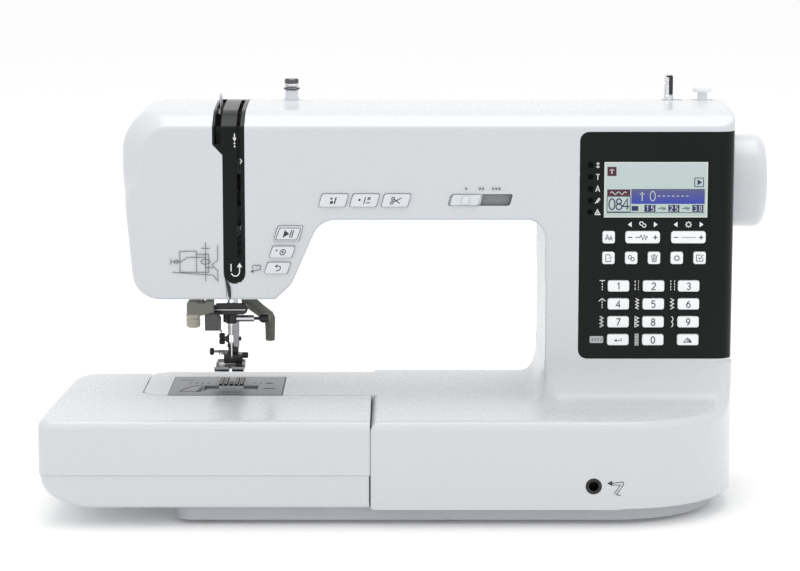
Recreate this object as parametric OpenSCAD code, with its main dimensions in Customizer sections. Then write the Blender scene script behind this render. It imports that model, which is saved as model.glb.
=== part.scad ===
// Computerised sewing machine with a free arm, a slide-off extension table, a display and a keypad.
// Millimetres. X runs from the table's tip to the handwheel, Y from the front to the back, and Z is
// up from the surface the feet stand on. X and Y are zero in the middle of the machine.

/* [Body] */
// thickness of the moulded covers
wall = 2.5; // [2:0.1:2.8]
// gap between two neighbouring covers
seam = 0.3; // [0.2:0.05:0.4]

/* [Handwheel and shafts] */
// radius of the handwheel
handwheel_r = 31.4; // [28:0.2:33]
// radius of the main shaft
main_shaft_r = 6; // [5:0.25:6.5]
// running clearance of every shaft and bar in its bearing
run_gap = 0.05; // [0.03:0.01:0.08]

/* [Keys] */
// width of a number key
key_w = 14.1; // [12:0.1:15]
// height of a number key
key_h = 7.3; // [6:0.1:8]
// how far a key stands out of the panel
key_proud = 1.4; // [1:0.1:1.8]
// gap around a key
key_gap = 0.35; // [0.3:0.05:0.4]

/* [Sewing parts] */
// length of the needle
needle_len = 38.5; // [36:0.5:39]
// radius of the needle bar
needle_bar_r = 3.2; // [2.8:0.1:3.4]
// width of the presser foot
foot_w = 20; // [18:0.5:22]
// radius of the bobbin
bobbin_r = 10.4; // [9.5:0.1:10.6]
// length of the spool pin
spool_pin_len = 104; // [80:1:110]

/* [Hidden] */
$fn = 64;
head_x0 = -193.2;
col_x0 = 90.4;
body_x1 = 216.5;
arm_y0 = -28;
back_y = 90;
front_y = -90;
split_y = 75;
head_z = 139.4;
throat_z = 192.5;
ridge_z = 267;
bed_z = 70;
base_z = 12;
table_x1 = -24.8;
table_x0 = -242.5;
tray_z = 34.8;
needle_x = -121.9;
needle_y = 43;
bar_y0 = 58;
shaft_z = 210.7;
hook_y = 24;
low_z = 36;
inner_y = arm_y0 + wall;
cam_x = -114;
cam_z = 157;
foot_travel = 8;
cam_turn = 25;

// ---- shapes used by many pieces ----

// a block from its lowest corner to its highest corner
module block(a, b) translate(a) cube(b - a);

// round bars along X, Y and Z
module bar_x(x0, x1, y, z, r) translate([x0, y, z]) rotate([0, 90, 0]) cylinder(h = x1 - x0, r = r);
module bar_y(y0, y1, x, z, r) translate([x, y1, z]) rotate([90, 0, 0]) cylinder(h = y1 - y0, r = r);
module bar_z(z0, z1, x, y, r) translate([x, y, z0]) cylinder(h = z1 - z0, r = r);

// turns an outline seen from the front into a solid between two depths
module front_solid(y0, y1) translate([0, y1, 0]) rotate([90, 0, 0]) linear_extrude(y1 - y0) children();

// turns an outline seen from the right end into a solid between two X positions
module end_solid(x0, x1) translate([x0, 0, 0]) rotate([90, 0, 90]) linear_extrude(x1 - x0) children();

// what a rounded corner takes off a square one; sx and sy point into the material
module corner(x, y, r, sx, sy) difference() {
    translate([x + (sx > 0 ? -1 : -r), y + (sy > 0 ? -1 : -r)]) square(r + 1);
    translate([x + sx * r, y + sy * r]) circle(r);
}

// parallelogram leaning to the right, centred on x and z
module slanted(x, z, w, h, lean) polygon([
    [x - w / 2 - lean / 2, z - h / 2], [x + w / 2 - lean / 2, z - h / 2],
    [x + w / 2 + lean / 2, z + h / 2], [x - w / 2 + lean / 2, z + h / 2]]);

// ---- outlines of the covers; i is the distance inside the outer skin ----

// X of the throat's slanted left side at height z
function slant_x(z, i) = -60.7 + (z - 187.4) * 0.4385 - 1.092 * i;

// head, arm and column seen from the front
module side_outline(i) difference() {
    union() {
        translate([head_x0 + i, head_z + i])
            square([body_x1 - head_x0 - 2 * i, ridge_z - head_z - 2 * i]);
        translate([col_x0 + i, bed_z - 8]) square([body_x1 - col_x0 - 2 * i, 100]);
        corner(col_x0 + i, bed_z - i, 12 + i, -1, 1);
    }
    difference() {
        polygon([[slant_x(head_z - 2, i), head_z - 2], [col_x0 + i, head_z - 2],
            [col_x0 + i, throat_z + i], [slant_x(throat_z + i, i), throat_z + i]]);
        corner(col_x0 + i, throat_z + i, 12 + i, -1, -1);
    }
    translate([-88.3, head_z]) rotate(42) translate([-20, i - 20]) square([60, 20]);
    translate([head_x0 + i, 215]) rotate(5.4) translate([-30, -90]) square([30, 90]);
    corner(-186 + i, head_z + i, 12, 1, 1);
    corner(head_x0 + i, ridge_z - i, 38 - i, 1, -1);
    corner(body_x1 - i, ridge_z - i, 6 - i, -1, -1);
}

// head, arm and column seen from the right end
module depth_outline(i) difference() {
    polygon([[arm_y0 + i, 50], [back_y - i, 50], [back_y - i, 256 - i], [84 - i, 261.5 - i],
        [42, ridge_z - i], [-9 + 0.26 * i, 263 - 0.98 * i], [arm_y0 + i, 254 - 0.63 * i]]);
}

// head, arm and column seen from above
module upper_plan(i) difference() {
    translate([head_x0 + i, arm_y0 + i])
        square([body_x1 - head_x0 - 2 * i, back_y - arm_y0 - 2 * i]);
    corner(head_x0 + i, arm_y0 + i, 24 - i, 1, 1);
    corner(head_x0 + i, back_y - i, 20 - i, 1, -1);
    corner(body_x1 - i, arm_y0 + i, 14 - i, -1, 1);
    corner(body_x1 - i, back_y - i, 14 - i, -1, -1);
}

// right-hand part of the bed seen from above
module bed_plan(i) difference() {
    translate([-24.5 + i, front_y + i]) square([body_x1 + 24.5 - 2 * i, back_y - front_y - 2 * i]);
    corner(body_x1 - i, front_y + i, 80 - i, -1, 1);
    corner(body_x1 - i, back_y - i, 14 - i, -1, -1);
}

module upper(i) intersection() {
    front_solid(arm_y0 - 1, back_y + 1) side_outline(i);
    end_solid(head_x0 - 1, body_x1 + 1) depth_outline(i);
    translate([0, 0, 40]) linear_extrude(240) upper_plan(i);
}

module bed(i) intersection() {
    translate([0, 0, base_z - min(i, 1)]) linear_extrude(bed_z - i - base_z + min(i, 1)) bed_plan(i);
    end_solid(-30, body_x1 + 1) difference() {
        translate([front_y + i, 0]) square([back_y - front_y - 2 * i, bed_z - i]);
        corner(front_y + i, bed_z - i, 7 - i, 1, -1);
    }
}

// large hollow curve between the column's front and the top of the bed
module cove(i) intersection() {
    difference() {
        block([col_x0 + i, arm_y0 - 26, bed_z - i - 1], [body_x1 - i, arm_y0 + i + 1, bed_z + 26]);
        bar_x(0, body_x1 + 1, arm_y0 - 26, bed_z + 26, 26 + i);
    }
    translate([0, 0, 40]) linear_extrude(80) bed_plan(i);
}

module free_arm(i) intersection() {
    block([-180 + i, -3 + i, 26 + i], [-15 - i, 81 - i, bed_z - i]);
    linear_extrude(100) difference() {
        translate([-180 + i, -10]) square([200, 100]);
        corner(-180 + i, -3 + i, 14 - i, 1, 1);
        corner(-180 + i, 81 - i, 14 - i, 1, -1);
    }
}

module body(i) {
    upper(i);
    bed(i);
    cove(i);
    free_arm(i);
}

module shell() difference() {
    body(0);
    body(wall);
}

// region of the head left of the thread path
module face_region(g) block([-200, -40, head_z - 1], [-120.8 + g, split_y - seam / 2, 275]);

// region taken by the black thread guide
module guide_region(g) {
    block([-122 - g, -40, 150.4 - g], [-108 + g, 56 + g, 275]);
    block([-128.6 - g, -40, 240 - g], [-121, 56 + g, 275]);
}

// region taken by the control panel: front of the column and its rounded right edge
module panel_region(g) front_solid(-40, -14 + g)
    difference() {
        translate([113 - g, 100 - g]) square([120, 150.9 + 2 * g]);
        corner(113 - g, 100 - g, 6, 1, 1);
        corner(113 - g, 250.9 + g, 6, 1, -1);
    }

// ---- covers ----

module pocket() block([10, 47, 239], [130, 72, 275]);

// seam where the column stands on the bed, and seam where the free arm joins the bed
module bed_seams() {
    block([60, -60, 96.3], [220, 100, 96.3 + seam]);
    block([table_x1, -5, 20], [table_x1 + seam, 100, 75]);
}

module front_cover() color("white") {
    difference() {
        union() {
            shell();
            intersection() {
                block([7.5, 44.5, 236.5], [132.5, 74.5, 272]);
                body(0);
            }
            // posts that reach back to the frame's bearing blocks
            for (x = [-92, 104]) bar_y(inner_y - 1, 30, x, 219, 4);
        }
        block([-250, split_y - seam / 2, 0], [250, 100, 300]);
        bed_seams();
        face_region(seam);
        guide_region(0.15);
        panel_region(0.15);
        pocket();
        // opening under the head for the needle bar, presser bar, threader and lifter
        block([-153, 24, head_z - 1], [-92, 72, head_z + wall + 0.5]);
        // seats and holes on top
        bar_z(265.5, 275, -79.3, 45, 5.9);
        bar_z(265.5, 275, 200.7, 45, 7.5);
        block([173, 41, 255], [187, 49, 275]);
        // hub of the handwheel
        bar_x(212, 220, needle_y, shaft_z, 12);
        // needle plate seat, with the opening under it
        block([-162.7, -3.1, bed_z - 1.5], [-84.8, 62.2, 75]);
        block([-158, 2, 60], [-90, 60.5, 75]);
        // table tongues, knee lift bush and power inlet
        for (y = [-58, -28]) block([-30, y - 6.2, 44.8], [-20, y + 6.2, 52.2]);
        bar_y(-95, -80, 119.7, 27.6, 5.15);
        block([210, 44.8, 23.8], [220, 73.2, 48.2]);
        // head and arm buttons, speed slider
        front_solid(-40, inner_y + 1) {
            slanted(-79.2, 183.8, 16.4 + 2 * key_gap, 10 + 2 * key_gap, 3);
            slanted(-83.3, 171.6, 14.8 + 2 * key_gap, 7.5 + 2 * key_gap, 2.4);
            slanted(-86.5, 160.9, 15 + 2 * key_gap, 7.4 + 2 * key_gap, 2.4);
            for (x = [-49.3, -28.8, -8.1]) slanted(x, 205.9, 17.3 + 2 * key_gap, 8.4 + 2 * key_gap, 2.4);
            slanted(47.4, 206.1, 41.2, 7.9, 2.4);
        }
    }
}

module rear_cover() color("white") {
    difference() {
        shell();
        block([-250, -100, 0], [250, split_y + seam / 2, 300]);
        bed_seams();
    }
    // posts that rest against the frame
    for (p = [[-140, 230], [-40, 213], [60, 213], [150, 213], [150, 70], [20, 37], [150, 37]])
        bar_y(74, back_y - wall + 1, p[0], p[1], 4);
    for (x = [-150, -70]) bar_y(74, 81 - wall + 1, x, 45, 4);
}

module face_cover() color("white") {
    difference() {
        intersection() {
            shell();
            face_region(0);
        }
        guide_region(0.15);
        block([-153, 24, head_z - 1], [-92, 72, head_z + wall + 0.5]);
    }
    bar_y(inner_y - 1, 46, -139.5, 222, 4);
}

module thread_guide_cover() color("black") {
    difference() {
        intersection() {
            shell();
            guide_region(0);
        }
        // slot of the take-up lever, then the thread channel
        block([-127.4, -40, 243], [-123.1, 54, 275]);
        block([-113, -40, 163], [-110.4, 40, 275]);
    }
    // tabs behind the neighbouring covers
    for (z = [156, 230]) {
        block([-110, inner_y, z], [-104, inner_y + 1.5, z + 8]);
        block([-126, inner_y, z], [-120.5, inner_y + 1.5, z + 8]);
    }
}

module control_panel() color("black") {
    difference() {
        intersection() {
            shell();
            panel_region(0);
        }
        block([128.7, -40, 194.4], [197.2, -20, 231.5]);
        front_solid(-40, -20) {
            for (i = [0:2], j = [0:3]) translate([139.1 + 23.2 * i, 148.9 - 12.03 * j])
                square([key_w + 2 * key_gap, key_h + 2 * key_gap], center = true);
            for (i = [0:4]) translate([132.2 + 15.05 * i, 167.7]) square(8.1 + 2 * key_gap, center = true);
            translate([132.2, 181.5]) square(8.1 + 2 * key_gap, center = true);
            for (x = [154.6, 184.8]) translate([x, 181.5]) square([24, 9], center = true);
        }
    }
    // edge tabs behind the front cover, and stand-offs for the circuit board
    for (z = [120, 170, 220]) block([110, inner_y, z], [115.5, inner_y + 1.5, z + 10]);
    for (x = [122, 205], z = [107, 243]) bar_y(inner_y - 1, -20.5, x, z, 2.2);
}

module base_plate() color([0.55, 0.56, 0.58]) {
    difference() {
        translate([0, 0, 3]) linear_extrude(base_z - 3) difference() {
            translate([-152.5, -80]) square([356.5, 165]);
            corner(-152.5, -80, 12, 1, 1);
            corner(-152.5, 85, 12, 1, -1);
            corner(204, -80, 70, -1, 1);
            corner(204, 85, 12, -1, -1);
        }
        difference() {
            translate([0, 0, 2]) linear_extrude(7) difference() {
                translate([-149, -76.5]) square([349.5, 158]);
                corner(-149, -76.5, 9, 1, 1);
                corner(-149, 81.5, 9, 1, -1);
                corner(200.5, -76.5, 66.5, -1, 1);
                corner(200.5, 81.5, 9, -1, -1);
            }
            for (p = [[-132, -60], [-132, 65], [26, -60], [26, 65], [160, -52], [184, 65]])
                bar_z(2, 10, p[0], p[1], 11);
            for (x = [-80, 90]) block([x - 1, -90, 2], [x + 1, 90, 10]);
        }
    }
}

module rubber_feet() color([0.15, 0.15, 0.15])
    for (p = [[-132, -60], [-132, 65], [26, -60], [26, 65], [160, -52], [184, 65]])
        bar_z(0, 3, p[0], p[1], 9);

// ---- frame and drive ----

module main_frame() color([0.7, 0.71, 0.73]) {
    difference() {
        union() {
            front_solid(66, 74) difference() {
                union() {
                    translate([-172, 146]) square([76, 100]);
                    translate([-100, 198]) square([288, 30]);
                    translate([104, base_z]) square([84, 200]);
                    translate([-20, base_z]) square([208, 48]);
                    translate([-168, 30]) square([160, 30]);
                }
                for (x = [-40, 0, 40, 80]) translate([x, 213]) circle(9);
                for (z = [90, 120, 180]) translate([128, z]) circle(11);
                for (x = [46, 84]) translate([x, 36]) circle(13);
            }
            // bearing blocks of the main shaft
            for (x = [-98, 30, 98, 178]) block([x, 30, 198], [x + 10, 67, 223]);
            // bearing blocks of the lower shaft, and the feet of the frame
            for (x = [-108, -20, 100, 178]) block([x, 14, 29], [x + 10, 67, 46]);
            for (x = [-20, 100, 178]) block([x, 14, base_z], [x + 10, 67, 32]);
            // motor bracket
            block([172.3, 8, 84], [176, 67, 136]);
            // guides of the needle bar, presser bar and threader
            block([-147, 26, 150], [-113, 62, 160]);
            block([-147, 61, 150], [-129, 67, 160]);
            block([-129.4, 36, 216], [-113, 67, 226]);
            block([-129, 50.5, 184], [-113, 67, 192]);
            // carrier of the take-up lever
            block([-146, 46, 212], [-133, 67, 232]);
            bar_x(-134, -129.9, 54, 222, 3);
            // bracket under the hook, and the stop of the bobbin case
            block([-131, 14, 45.3], [-97, 67, 47.9]);
            block([-103, 20, 47], [-98, 28, 61]);
            // guide of the feed dog
            block([-146, 60, 48], [-98, 67, 60]);
        }
        bar_x(-150, 200, needle_y, shaft_z, main_shaft_r + run_gap);
        bar_x(-112, 200, hook_y, low_z, 5 + run_gap);
        bar_x(170, 180, 32, 110, 8);
        bar_z(140, 240, needle_x, needle_y, needle_bar_r + run_gap);
        bar_z(140, 214, needle_x, bar_y0, 3.6 + run_gap);
        bar_z(140, 170, -142, 32, 2.5 + run_gap);
        bar_z(40, 50, needle_x, hook_y, 4 + run_gap);
        for (x = [-140, -104]) bar_y(55, 80, x, 55, 2 + run_gap);
        // room for the lifter's cam
        block([-128.5, 60, 136], [-90, 70.3, 183]);
    }
    // pivot of the lifter
    bar_y(64.8, 71, cam_x, cam_z, 3);
}

module handwheel() color("white") translate([0, needle_y, shaft_z]) rotate([0, 90, 0]) {
    difference() {
        rotate_extrude() difference() {
            translate([0, 217.2]) square([handwheel_r, 25.3]);
            corner(handwheel_r, 242.5, 7, -1, -1);
        }
        difference() {
            translate([0, 0, 217]) cylinder(h = 20, r = handwheel_r - 4);
            translate([0, 0, 216]) cylinder(h = 22, r = 10);
        }
    }
    translate([0, 0, 213]) cylinder(h = 5, r = 10);
}

module main_shaft() color([0.75, 0.76, 0.78]) {
    bar_x(-106, 213, needle_y, shaft_z, main_shaft_r);
    difference() {
        bar_x(-112, -104, needle_y, shaft_z, 16);
        block([-113, 20, shaft_z + 5], [-103, 70, shaft_z + 20]);
    }
    bar_x(196, 204, needle_y, shaft_z, 12);
    difference() {
        bar_x(206, 212, needle_y, shaft_z, 24);
        for (a = [0:60:300]) translate([200, needle_y, shaft_z]) rotate([a, 0, 0])
            translate([0, 14.5, 0]) rotate([0, 90, 0]) cylinder(h = 20, r = 4);
    }
}

// outline of a bevel gear's teeth at its large end
module gear_outline(turn) rotate(turn) {
    circle(5.4);
    for (k = [0:13]) rotate(k * 360 / 14) polygon([[5, -0.8], [7.1, -0.34], [7.1, 0.34], [5, 0.8]]);
}

module lower_shaft() color([0.72, 0.73, 0.75]) {
    bar_x(-115.5, 204, hook_y, low_z, 5);
    bar_x(196, 204, hook_y, low_z, 6);
    translate([needle_x + 6.4, hook_y, low_z]) rotate([0, -90, 0])
        linear_extrude(height = 2.4, scale = 5 / 8) gear_outline(0);
}

module rotary_hook() color([0.78, 0.79, 0.81]) {
    translate([needle_x, hook_y, low_z + 6.4]) rotate([180, 0, 0])
        linear_extrude(height = 2.4, scale = 5 / 8) gear_outline(360 / 28);
    bar_z(low_z + 6.4, 49, needle_x, hook_y, 4);
    difference() {
        bar_z(48.3, 60.5, needle_x, hook_y, 17);
        bar_z(50, 61, needle_x, hook_y, 15.2);
        block([needle_x - 20, hook_y - 20, 55], [needle_x - 6, hook_y - 4, 62]);
        translate([needle_x, hook_y, 53]) rotate([0, 0, 100]) block([8, -2, 0], [20, 2, 10]);
    }
}

module bobbin_case() color([0.12, 0.12, 0.13]) {
    difference() {
        bar_z(50.4, 62.8, needle_x, hook_y, 14.8);
        bar_z(52, 64, needle_x, hook_y, 11.6);
    }
    bar_z(51, 60, needle_x, hook_y, 2.6);
    block([needle_x + 13, 21, 61], [-98.2, 27, 62.8]);
}

module bobbin() color([0.85, 0.86, 0.88]) difference() {
    union() {
        bar_z(52.2, 53.2, needle_x, hook_y, bobbin_r);
        bar_z(52.2, 62.2, needle_x, hook_y, 4.2);
        bar_z(61.2, 62.2, needle_x, hook_y, bobbin_r);
    }
    bar_z(50, 64, needle_x, hook_y, 2.95);
}

module drive_motor() color([0.3, 0.31, 0.33]) {
    bar_x(112, 172.3, 32, 110, 24);
    bar_x(172, 178, 32, 110, 7);
    bar_x(176, 212, 32, 110, 2.5);
    bar_x(206, 212, 32, 110, 8);
    bar_x(107, 113, 32, 110, 9);
}

// closed belt around two pulleys; each pulley is [y, z, r]
module belt(x0, x1, a, b, t) {
    d = norm([b[0] - a[0], b[1] - a[1]]);
    turn = atan2(b[1] - a[1], b[0] - a[0]);
    lean = acos((a[2] - b[2]) / d);
    module loop(e) polygon([
        for (k = [0:24]) let (w = turn + lean + (360 - 2 * lean) * k / 24)
            [a[0], a[1]] + (a[2] + e) * [cos(w), sin(w)],
        for (k = [0:16]) let (w = turn - lean + 2 * lean * k / 16)
            [b[0], b[1]] + (b[2] + e) * [cos(w), sin(w)]]);
    end_solid(x0, x1) difference() {
        loop(t);
        loop(0);
    }
}

module drive_belts() color([0.1, 0.1, 0.1]) {
    belt(196.5, 203.5, [needle_y, shaft_z, 12.4], [hook_y, low_z, 6.4], 1.5);
    belt(206.5, 211.5, [needle_y, shaft_z, 24.4], [32, 110, 8.2], 1.8);
}

module circuit_boards() color([0.1, 0.35, 0.2]) {
    block([118, -20.5, 103], [209, -19, 247]);
    block([106, 77, 88], [200, 78.6, 196]);
    for (x = [114, 180], z = [100, 190]) bar_y(74, 78, x, z, 2.5);
    block([-146, 40, 143], [-132, 60, 144.6]);
    bar_z(144, 150, -140, 50, 2);
    for (i = [0:2]) block([126 + 24 * i, 78, 110], [138 + 24 * i, 84, 130]);
}

module sockets() color([0.12, 0.12, 0.13]) {
    // bush for the knee lift lever
    difference() {
        union() {
            bar_y(front_y, -70, 119.7, 27.6, 5.1);
            bar_y(front_y + wall, -84, 119.7, 27.6, 8);
        }
        bar_y(-91, -74, 119.7, 27.6, 3.2);
    }
    // power inlet and switch plate in the right-hand end
    difference() {
        union() {
            block([199, 45, 24], [216.4, 73, 48]);
            block([210, 43, 22], [body_x1 - wall, 74.6, 50]);
        }
        block([204, 47, 27], [220, 61, 45]);
        block([214.4, 64, 30], [220, 71, 42]);
    }
}

module thread_fittings() color([0.8, 0.81, 0.83]) {
    // winder tension
    bar_z(265.5, 272, -79.3, 45, 5.6);
    bar_z(271, 275, -79.3, 45, 3.6);
    bar_z(274, 275.6, -79.3, 45, 5.4);
    bar_z(275, 280.4, -79.3, 45, 4.6);
    // winder stopper
    bar_z(265.5, 272, 200.7, 45, 3.4);
    bar_z(271, 275.2, 200.7, 45, 6.9);
    // spool pin with its cap, across the pocket in the top
    bar_x(130 - spool_pin_len, 130, 59.5, 252, 2.5);
    bar_x(130 - spool_pin_len - 3, 130 - spool_pin_len + 1, 59.5, 252, 9);
}

module display() color([0.7, 0.82, 0.74]) block([128.9, arm_y0 - 0.1, 194.6], [197, -20.5, 231.3]);

// ---- sewing parts ----

module needle_plate() color([0.55, 0.55, 0.56]) {
    difference() {
        linear_extrude(bed_z) translate([-162.5, -2.9]) square([77.5, 64.9]);
        block([-170, -10, -1], [-80, 70, bed_z - 1.5]);
        block([-139.7, 12.8, 60], [-102.9, 31.2, 75]);
        block([-123.6, 41.8, 60], [-120.2, 44.2, 75]);
        for (x = [-129, -125.6, -118.2, -114.8]) block([x - 1.3, 31.3, 60], [x + 1.3, 59.2, 75]);
        block([needle_x - 1.3, 31.3, 60], [needle_x + 1.3, 40.9, 75]);
        block([-99, 20, 60], [-91, 22.5, 75]);
    }
    // rails of the bobbin cover
    for (s = [-1, 1]) translate([-121.3, 0, 0]) {
        x0 = s > 0 ? 18.6 : -21.2;
        block([x0, 2.2, 65.2], [x0 + 2.6, 31, bed_z - 1]);
        block([x0 - (s > 0 ? 2 : 0), 2.2, 65.2], [x0 + (s > 0 ? 2.6 : 4.6), 31, 66.6]);
    }
}

module bobbin_cover() color([0.5, 0.55, 0.6]) {
    block([-139.6, 13, 66.8], [-103, 30.8, 68.2]);
    block([-130, 27, 68], [-113, 30, 69.6]);
}

module feed_dog() color([0.6, 0.61, 0.63]) {
    difference() {
        union() {
            for (x = [-129, -125.6, -118.2, -114.8]) block([x - 0.9, 34, 64], [x + 0.9, 56, 70.5]);
            block([needle_x - 0.9, 34, 64], [needle_x + 0.9, 38, 70.5]);
        }
        for (y = [34.5:1.6:56]) translate([-140, y, 70.4]) rotate([45, 0, 0]) cube([30, 0.9, 0.9]);
    }
    difference() {
        block([-130.5, 33, 63.4], [-113.3, 57, 65]);
        block([-124.4, 39, 60], [-119.4, 47, 70]);
    }
    block([-143, 50, 52], [-101, 54, 64]);
    for (x = [-140, -104]) bar_y(53, 72, x, 55, 2);
}

module needle_bar() color([0.85, 0.86, 0.88]) {
    difference() {
        union() {
            bar_z(112, 250, needle_x, needle_y, needle_bar_r);
            bar_z(111.7, 118.5, needle_x, needle_y, 4.3);
            // thread guide, then the block the crank drives
            block([-133.5, 38.8, 118], [-110.3, 46.8, 126]);
            block([-125, 37.5, 205], [-114.5, 48.5, 214]);
            // needle screw
            bar_x(-121, -106, needle_y, 114.8, 2.1);
            bar_x(-107, -102, needle_y, 114.8, 1.2);
            bar_x(-102.7, -95.8, needle_y, 114.8, 2.9);
        }
        bar_z(100, 124.8, needle_x, needle_y, 1.05);
    }
}

module needle() color([0.9, 0.91, 0.93]) {
    z0 = 86 + 38.5 - needle_len;
    bar_z(110, 124.5, needle_x, needle_y, 1);
    bar_z(z0 + 2.5, 111, needle_x, needle_y, 0.45);
    translate([needle_x, needle_y, z0]) cylinder(h = 2.6, r1 = 0.05, r2 = 0.45);
}

module presser_bar() color([0.82, 0.83, 0.85]) {
    bar_z(94, 196, needle_x, bar_y0, 3.6);
    block([-125.6, 52.5, 92.5], [-117.4, 63.5, 111.5]);
    bar_x(-127.5, -124, 57.5, 98, 1.6);
    bar_x(-131.4, -127.4, 57.5, 98, 3.6);
    // arm with the roller that rides on the lifter's cam
    block([-125, 56, 170], [cam_x + 2, 63.6, 178]);
    bar_y(63, 69.8, cam_x, cam_z + 17, 1.5);
}

module presser_foot() color([0.8, 0.81, 0.83]) {
    difference() {
        union() {
            block([needle_x - foot_w / 2 - 1, 25, 79], [needle_x + foot_w / 2 - 1, 62, 81.3]);
            block([-128, 50.5, 81], [-115, 61, 88]);
            block([-125, 53, 87.5], [-118, 62, 92.5]);
        }
        block([-125.5, 40.5, 70], [-118.5, 45.5, 85]);
        block([-123, 22, 70], [-121, 42, 85]);
    }
    // spring pin with its knob on the left, and the release button
    bar_x(-135.2, -124, 56, 89.2, 0.9);
    bar_x(-138, -135, 56, 89.2, 2.6);
    bar_x(-115.5, -111.2, 56, 86.6, 2.2);
}

// lifter: a cam at the top and a hanging grip
module presser_lifter() color([0.45, 0.46, 0.48]) difference() {
    union() {
        bar_y(65.4, 69.4, cam_x, cam_z, 6);
        front_solid(65.4, 69.4) translate([cam_x, cam_z]) polygon([[-4, 0], [5, 4], [5.5, 13.4],
            for (a = [-8:4:cam_turn + 8]) (17 - foot_travel * min(max(a, 0), cam_turn) / cam_turn
                - 1.85) * [-sin(a), cos(a)]]);
        front_solid(65.4, 69.4) polygon([[cam_x - 4.8, cam_z + 1], [cam_x + 4.8, cam_z + 1],
            [-108.8, 124], [-94.5, 115], [-92.8, 111], [-93.4, 95], [-99.2, 95], [-100, 109],
            [-116, 121]]);
    }
    bar_y(60, 75, cam_x, cam_z, 3 + run_gap);
    // track of the presser bar's roller
    for (a = [0:2.5:cam_turn]) bar_y(60, 75, cam_x - (17 - foot_travel * a / cam_turn) * sin(a),
        cam_z + (17 - foot_travel * a / cam_turn) * cos(a), 1.85);
}

module take_up_lever() color([0.85, 0.86, 0.88]) {
    difference() {
        union() {
            end_solid(-132.4, -130.4) {
                translate([54, 222]) circle(7);
                polygon([[49, 217.5], [57, 227], [18, 262], [15.5, 259]]);
            }
            end_solid(-132.4, -124.4) polygon([[19.5, 255.6], [23, 259.5], [18.5, 262], [15.5, 259]]);
            end_solid(-126, -124.4) {
                polygon([[15, 256.5], [21.5, 262.5], [12.2, 272], [8.2, 270.6]]);
                translate([10, 272]) circle(2.2);
            }
        }
        bar_x(-135, -128, 54, 222, 3 + run_gap);
    }
}

module needle_threader() color([0.78, 0.77, 0.72]) {
    bar_z(128, 205, -142, 32, 2.5);
    block([-151.5, 27.5, 119.3], [-133, 37.5, 129.6]);
    bar_y(26.5, 34, -147.4, 115.8, 5);
    block([-139.3, 29, 108.5], [-128.5, 37.5, 120]);
    block([-130, 34, 105.8], [-127.2, 37.6, 109.5]);
}

module winder_spindle() color([0.75, 0.76, 0.78]) {
    bar_z(268, 283.2, 177.6, 45, 3);
    bar_z(250, 268.5, 177.6, 45, 3.4);
    bar_z(247, 250.5, 177.6, 45, 9);
}

// ---- table ----

module table_plan(i) difference() {
    translate([table_x0 + i, front_y + i]) square([table_x1 - table_x0 - 2 * i, 171 - 2 * i]);
    translate([-180.8 - i, -3.4 - i]) square([200, 200]);
    polygon([[table_x0 - 5, -66], [table_x0 + i, -66], [table_x0 + 10 + i, 90], [table_x0 - 5, 90]]);
    corner(table_x0 + i, front_y + i, 14, 1, 1);
    corner(table_x0 + 9 + i, 81 - i, 22, 1, -1);
}

// lower edge of the table seen from the front, with its boat-shaped left end
module lower_outline(i) polygon([
    for (a = [0:10:90]) [-240 + i + 39 * (1 - cos(a)), tray_z + 0.2 - (tray_z - base_z - 0.3 - i) * sin(a)],
    [table_x1 - i, base_z + 0.5 + i], [table_x1 - i, tray_z + 0.2]]);

module extension_table() color("white") {
    difference() {
        intersection() {
            translate([0, 0, tray_z]) linear_extrude(bed_z - tray_z) table_plan(0);
            end_solid(-250, 0) difference() {
                translate([front_y, 0]) square([180, bed_z]);
                corner(front_y, bed_z, 7, 1, -1);
            }
        }
        translate([0, 0, tray_z - 1]) linear_extrude(bed_z - wall - tray_z + 1) table_plan(wall);
    }
    // skirt behind the tray
    intersection() {
        difference() {
            front_solid(-5.2, 81) lower_outline(0);
            front_solid(-5.2 + wall, 90) lower_outline(wall);
            block([-250, -10, tray_z - 0.1], [0, 100, 80]);
        }
        linear_extrude(60) table_plan(0);
    }
    intersection() {
        block([-230, 76, 20], [-183.3, 78.5, tray_z + 0.5]);
        linear_extrude(60) table_plan(0);
    }
    // rails of the tray
    for (x = [-150, -70], s = [-1, 1]) translate([x, 0, 0]) {
        block([s > 0 ? 5.2 : -6.8, -80, 29.8], [s > 0 ? 6.8 : -5.2, -8.6, bed_z - wall + 0.5]);
        block([s > 0 ? 2 : -6.8, -80, 29.8], [s > 0 ? 6.8 : -2, -8.6, 31.2]);
    }
    // tongues that locate it in the bed
    for (y = [-58, -28]) block([table_x1 - 1, y - 6, 45], [table_x1 + 5, y + 6, 52]);
}

module accessory_tray() color("white") {
    intersection() {
        difference() {
            front_solid(front_y + 1, -5.6) lower_outline(0);
            front_solid(front_y + 1 + wall, -5.6 - wall) lower_outline(wall);
            block([-250, -100, tray_z - seam], [0, 100, 80]);
            for (x = [-150, -70]) block([x - 7.3, -9, 29.3], [x + 7.3, 0, 40]);
        }
        translate([0, 0, 5]) linear_extrude(60) table_plan(1);
    }
    for (x = [-150, -70]) {
        block([x - 1, front_y + 4, 14], [x + 1, -8, 32.5]);
        block([x - 4.5, front_y + 8, 32], [x + 4.5, -8, 33.6]);
    }
}

// ---- keys and buttons ----

// key cap with a flange behind the panel, from an outline centred on the key
module square_key(x, z, w, h) color([0.85, 0.86, 0.87]) {
    block([x - w / 2, arm_y0 - key_proud, z - h / 2], [x + w / 2, inner_y + 0.8, z + h / 2]);
    block([x - w / 2 - 1, inner_y + 0.3, z - h / 2 - 1], [x + w / 2 + 1, inner_y + 1.8, z + h / 2 + 1]);
}

module number_key(i, j) square_key(139.1 + 23.2 * i, 148.9 - 12.03 * j, key_w, key_h);

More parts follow.
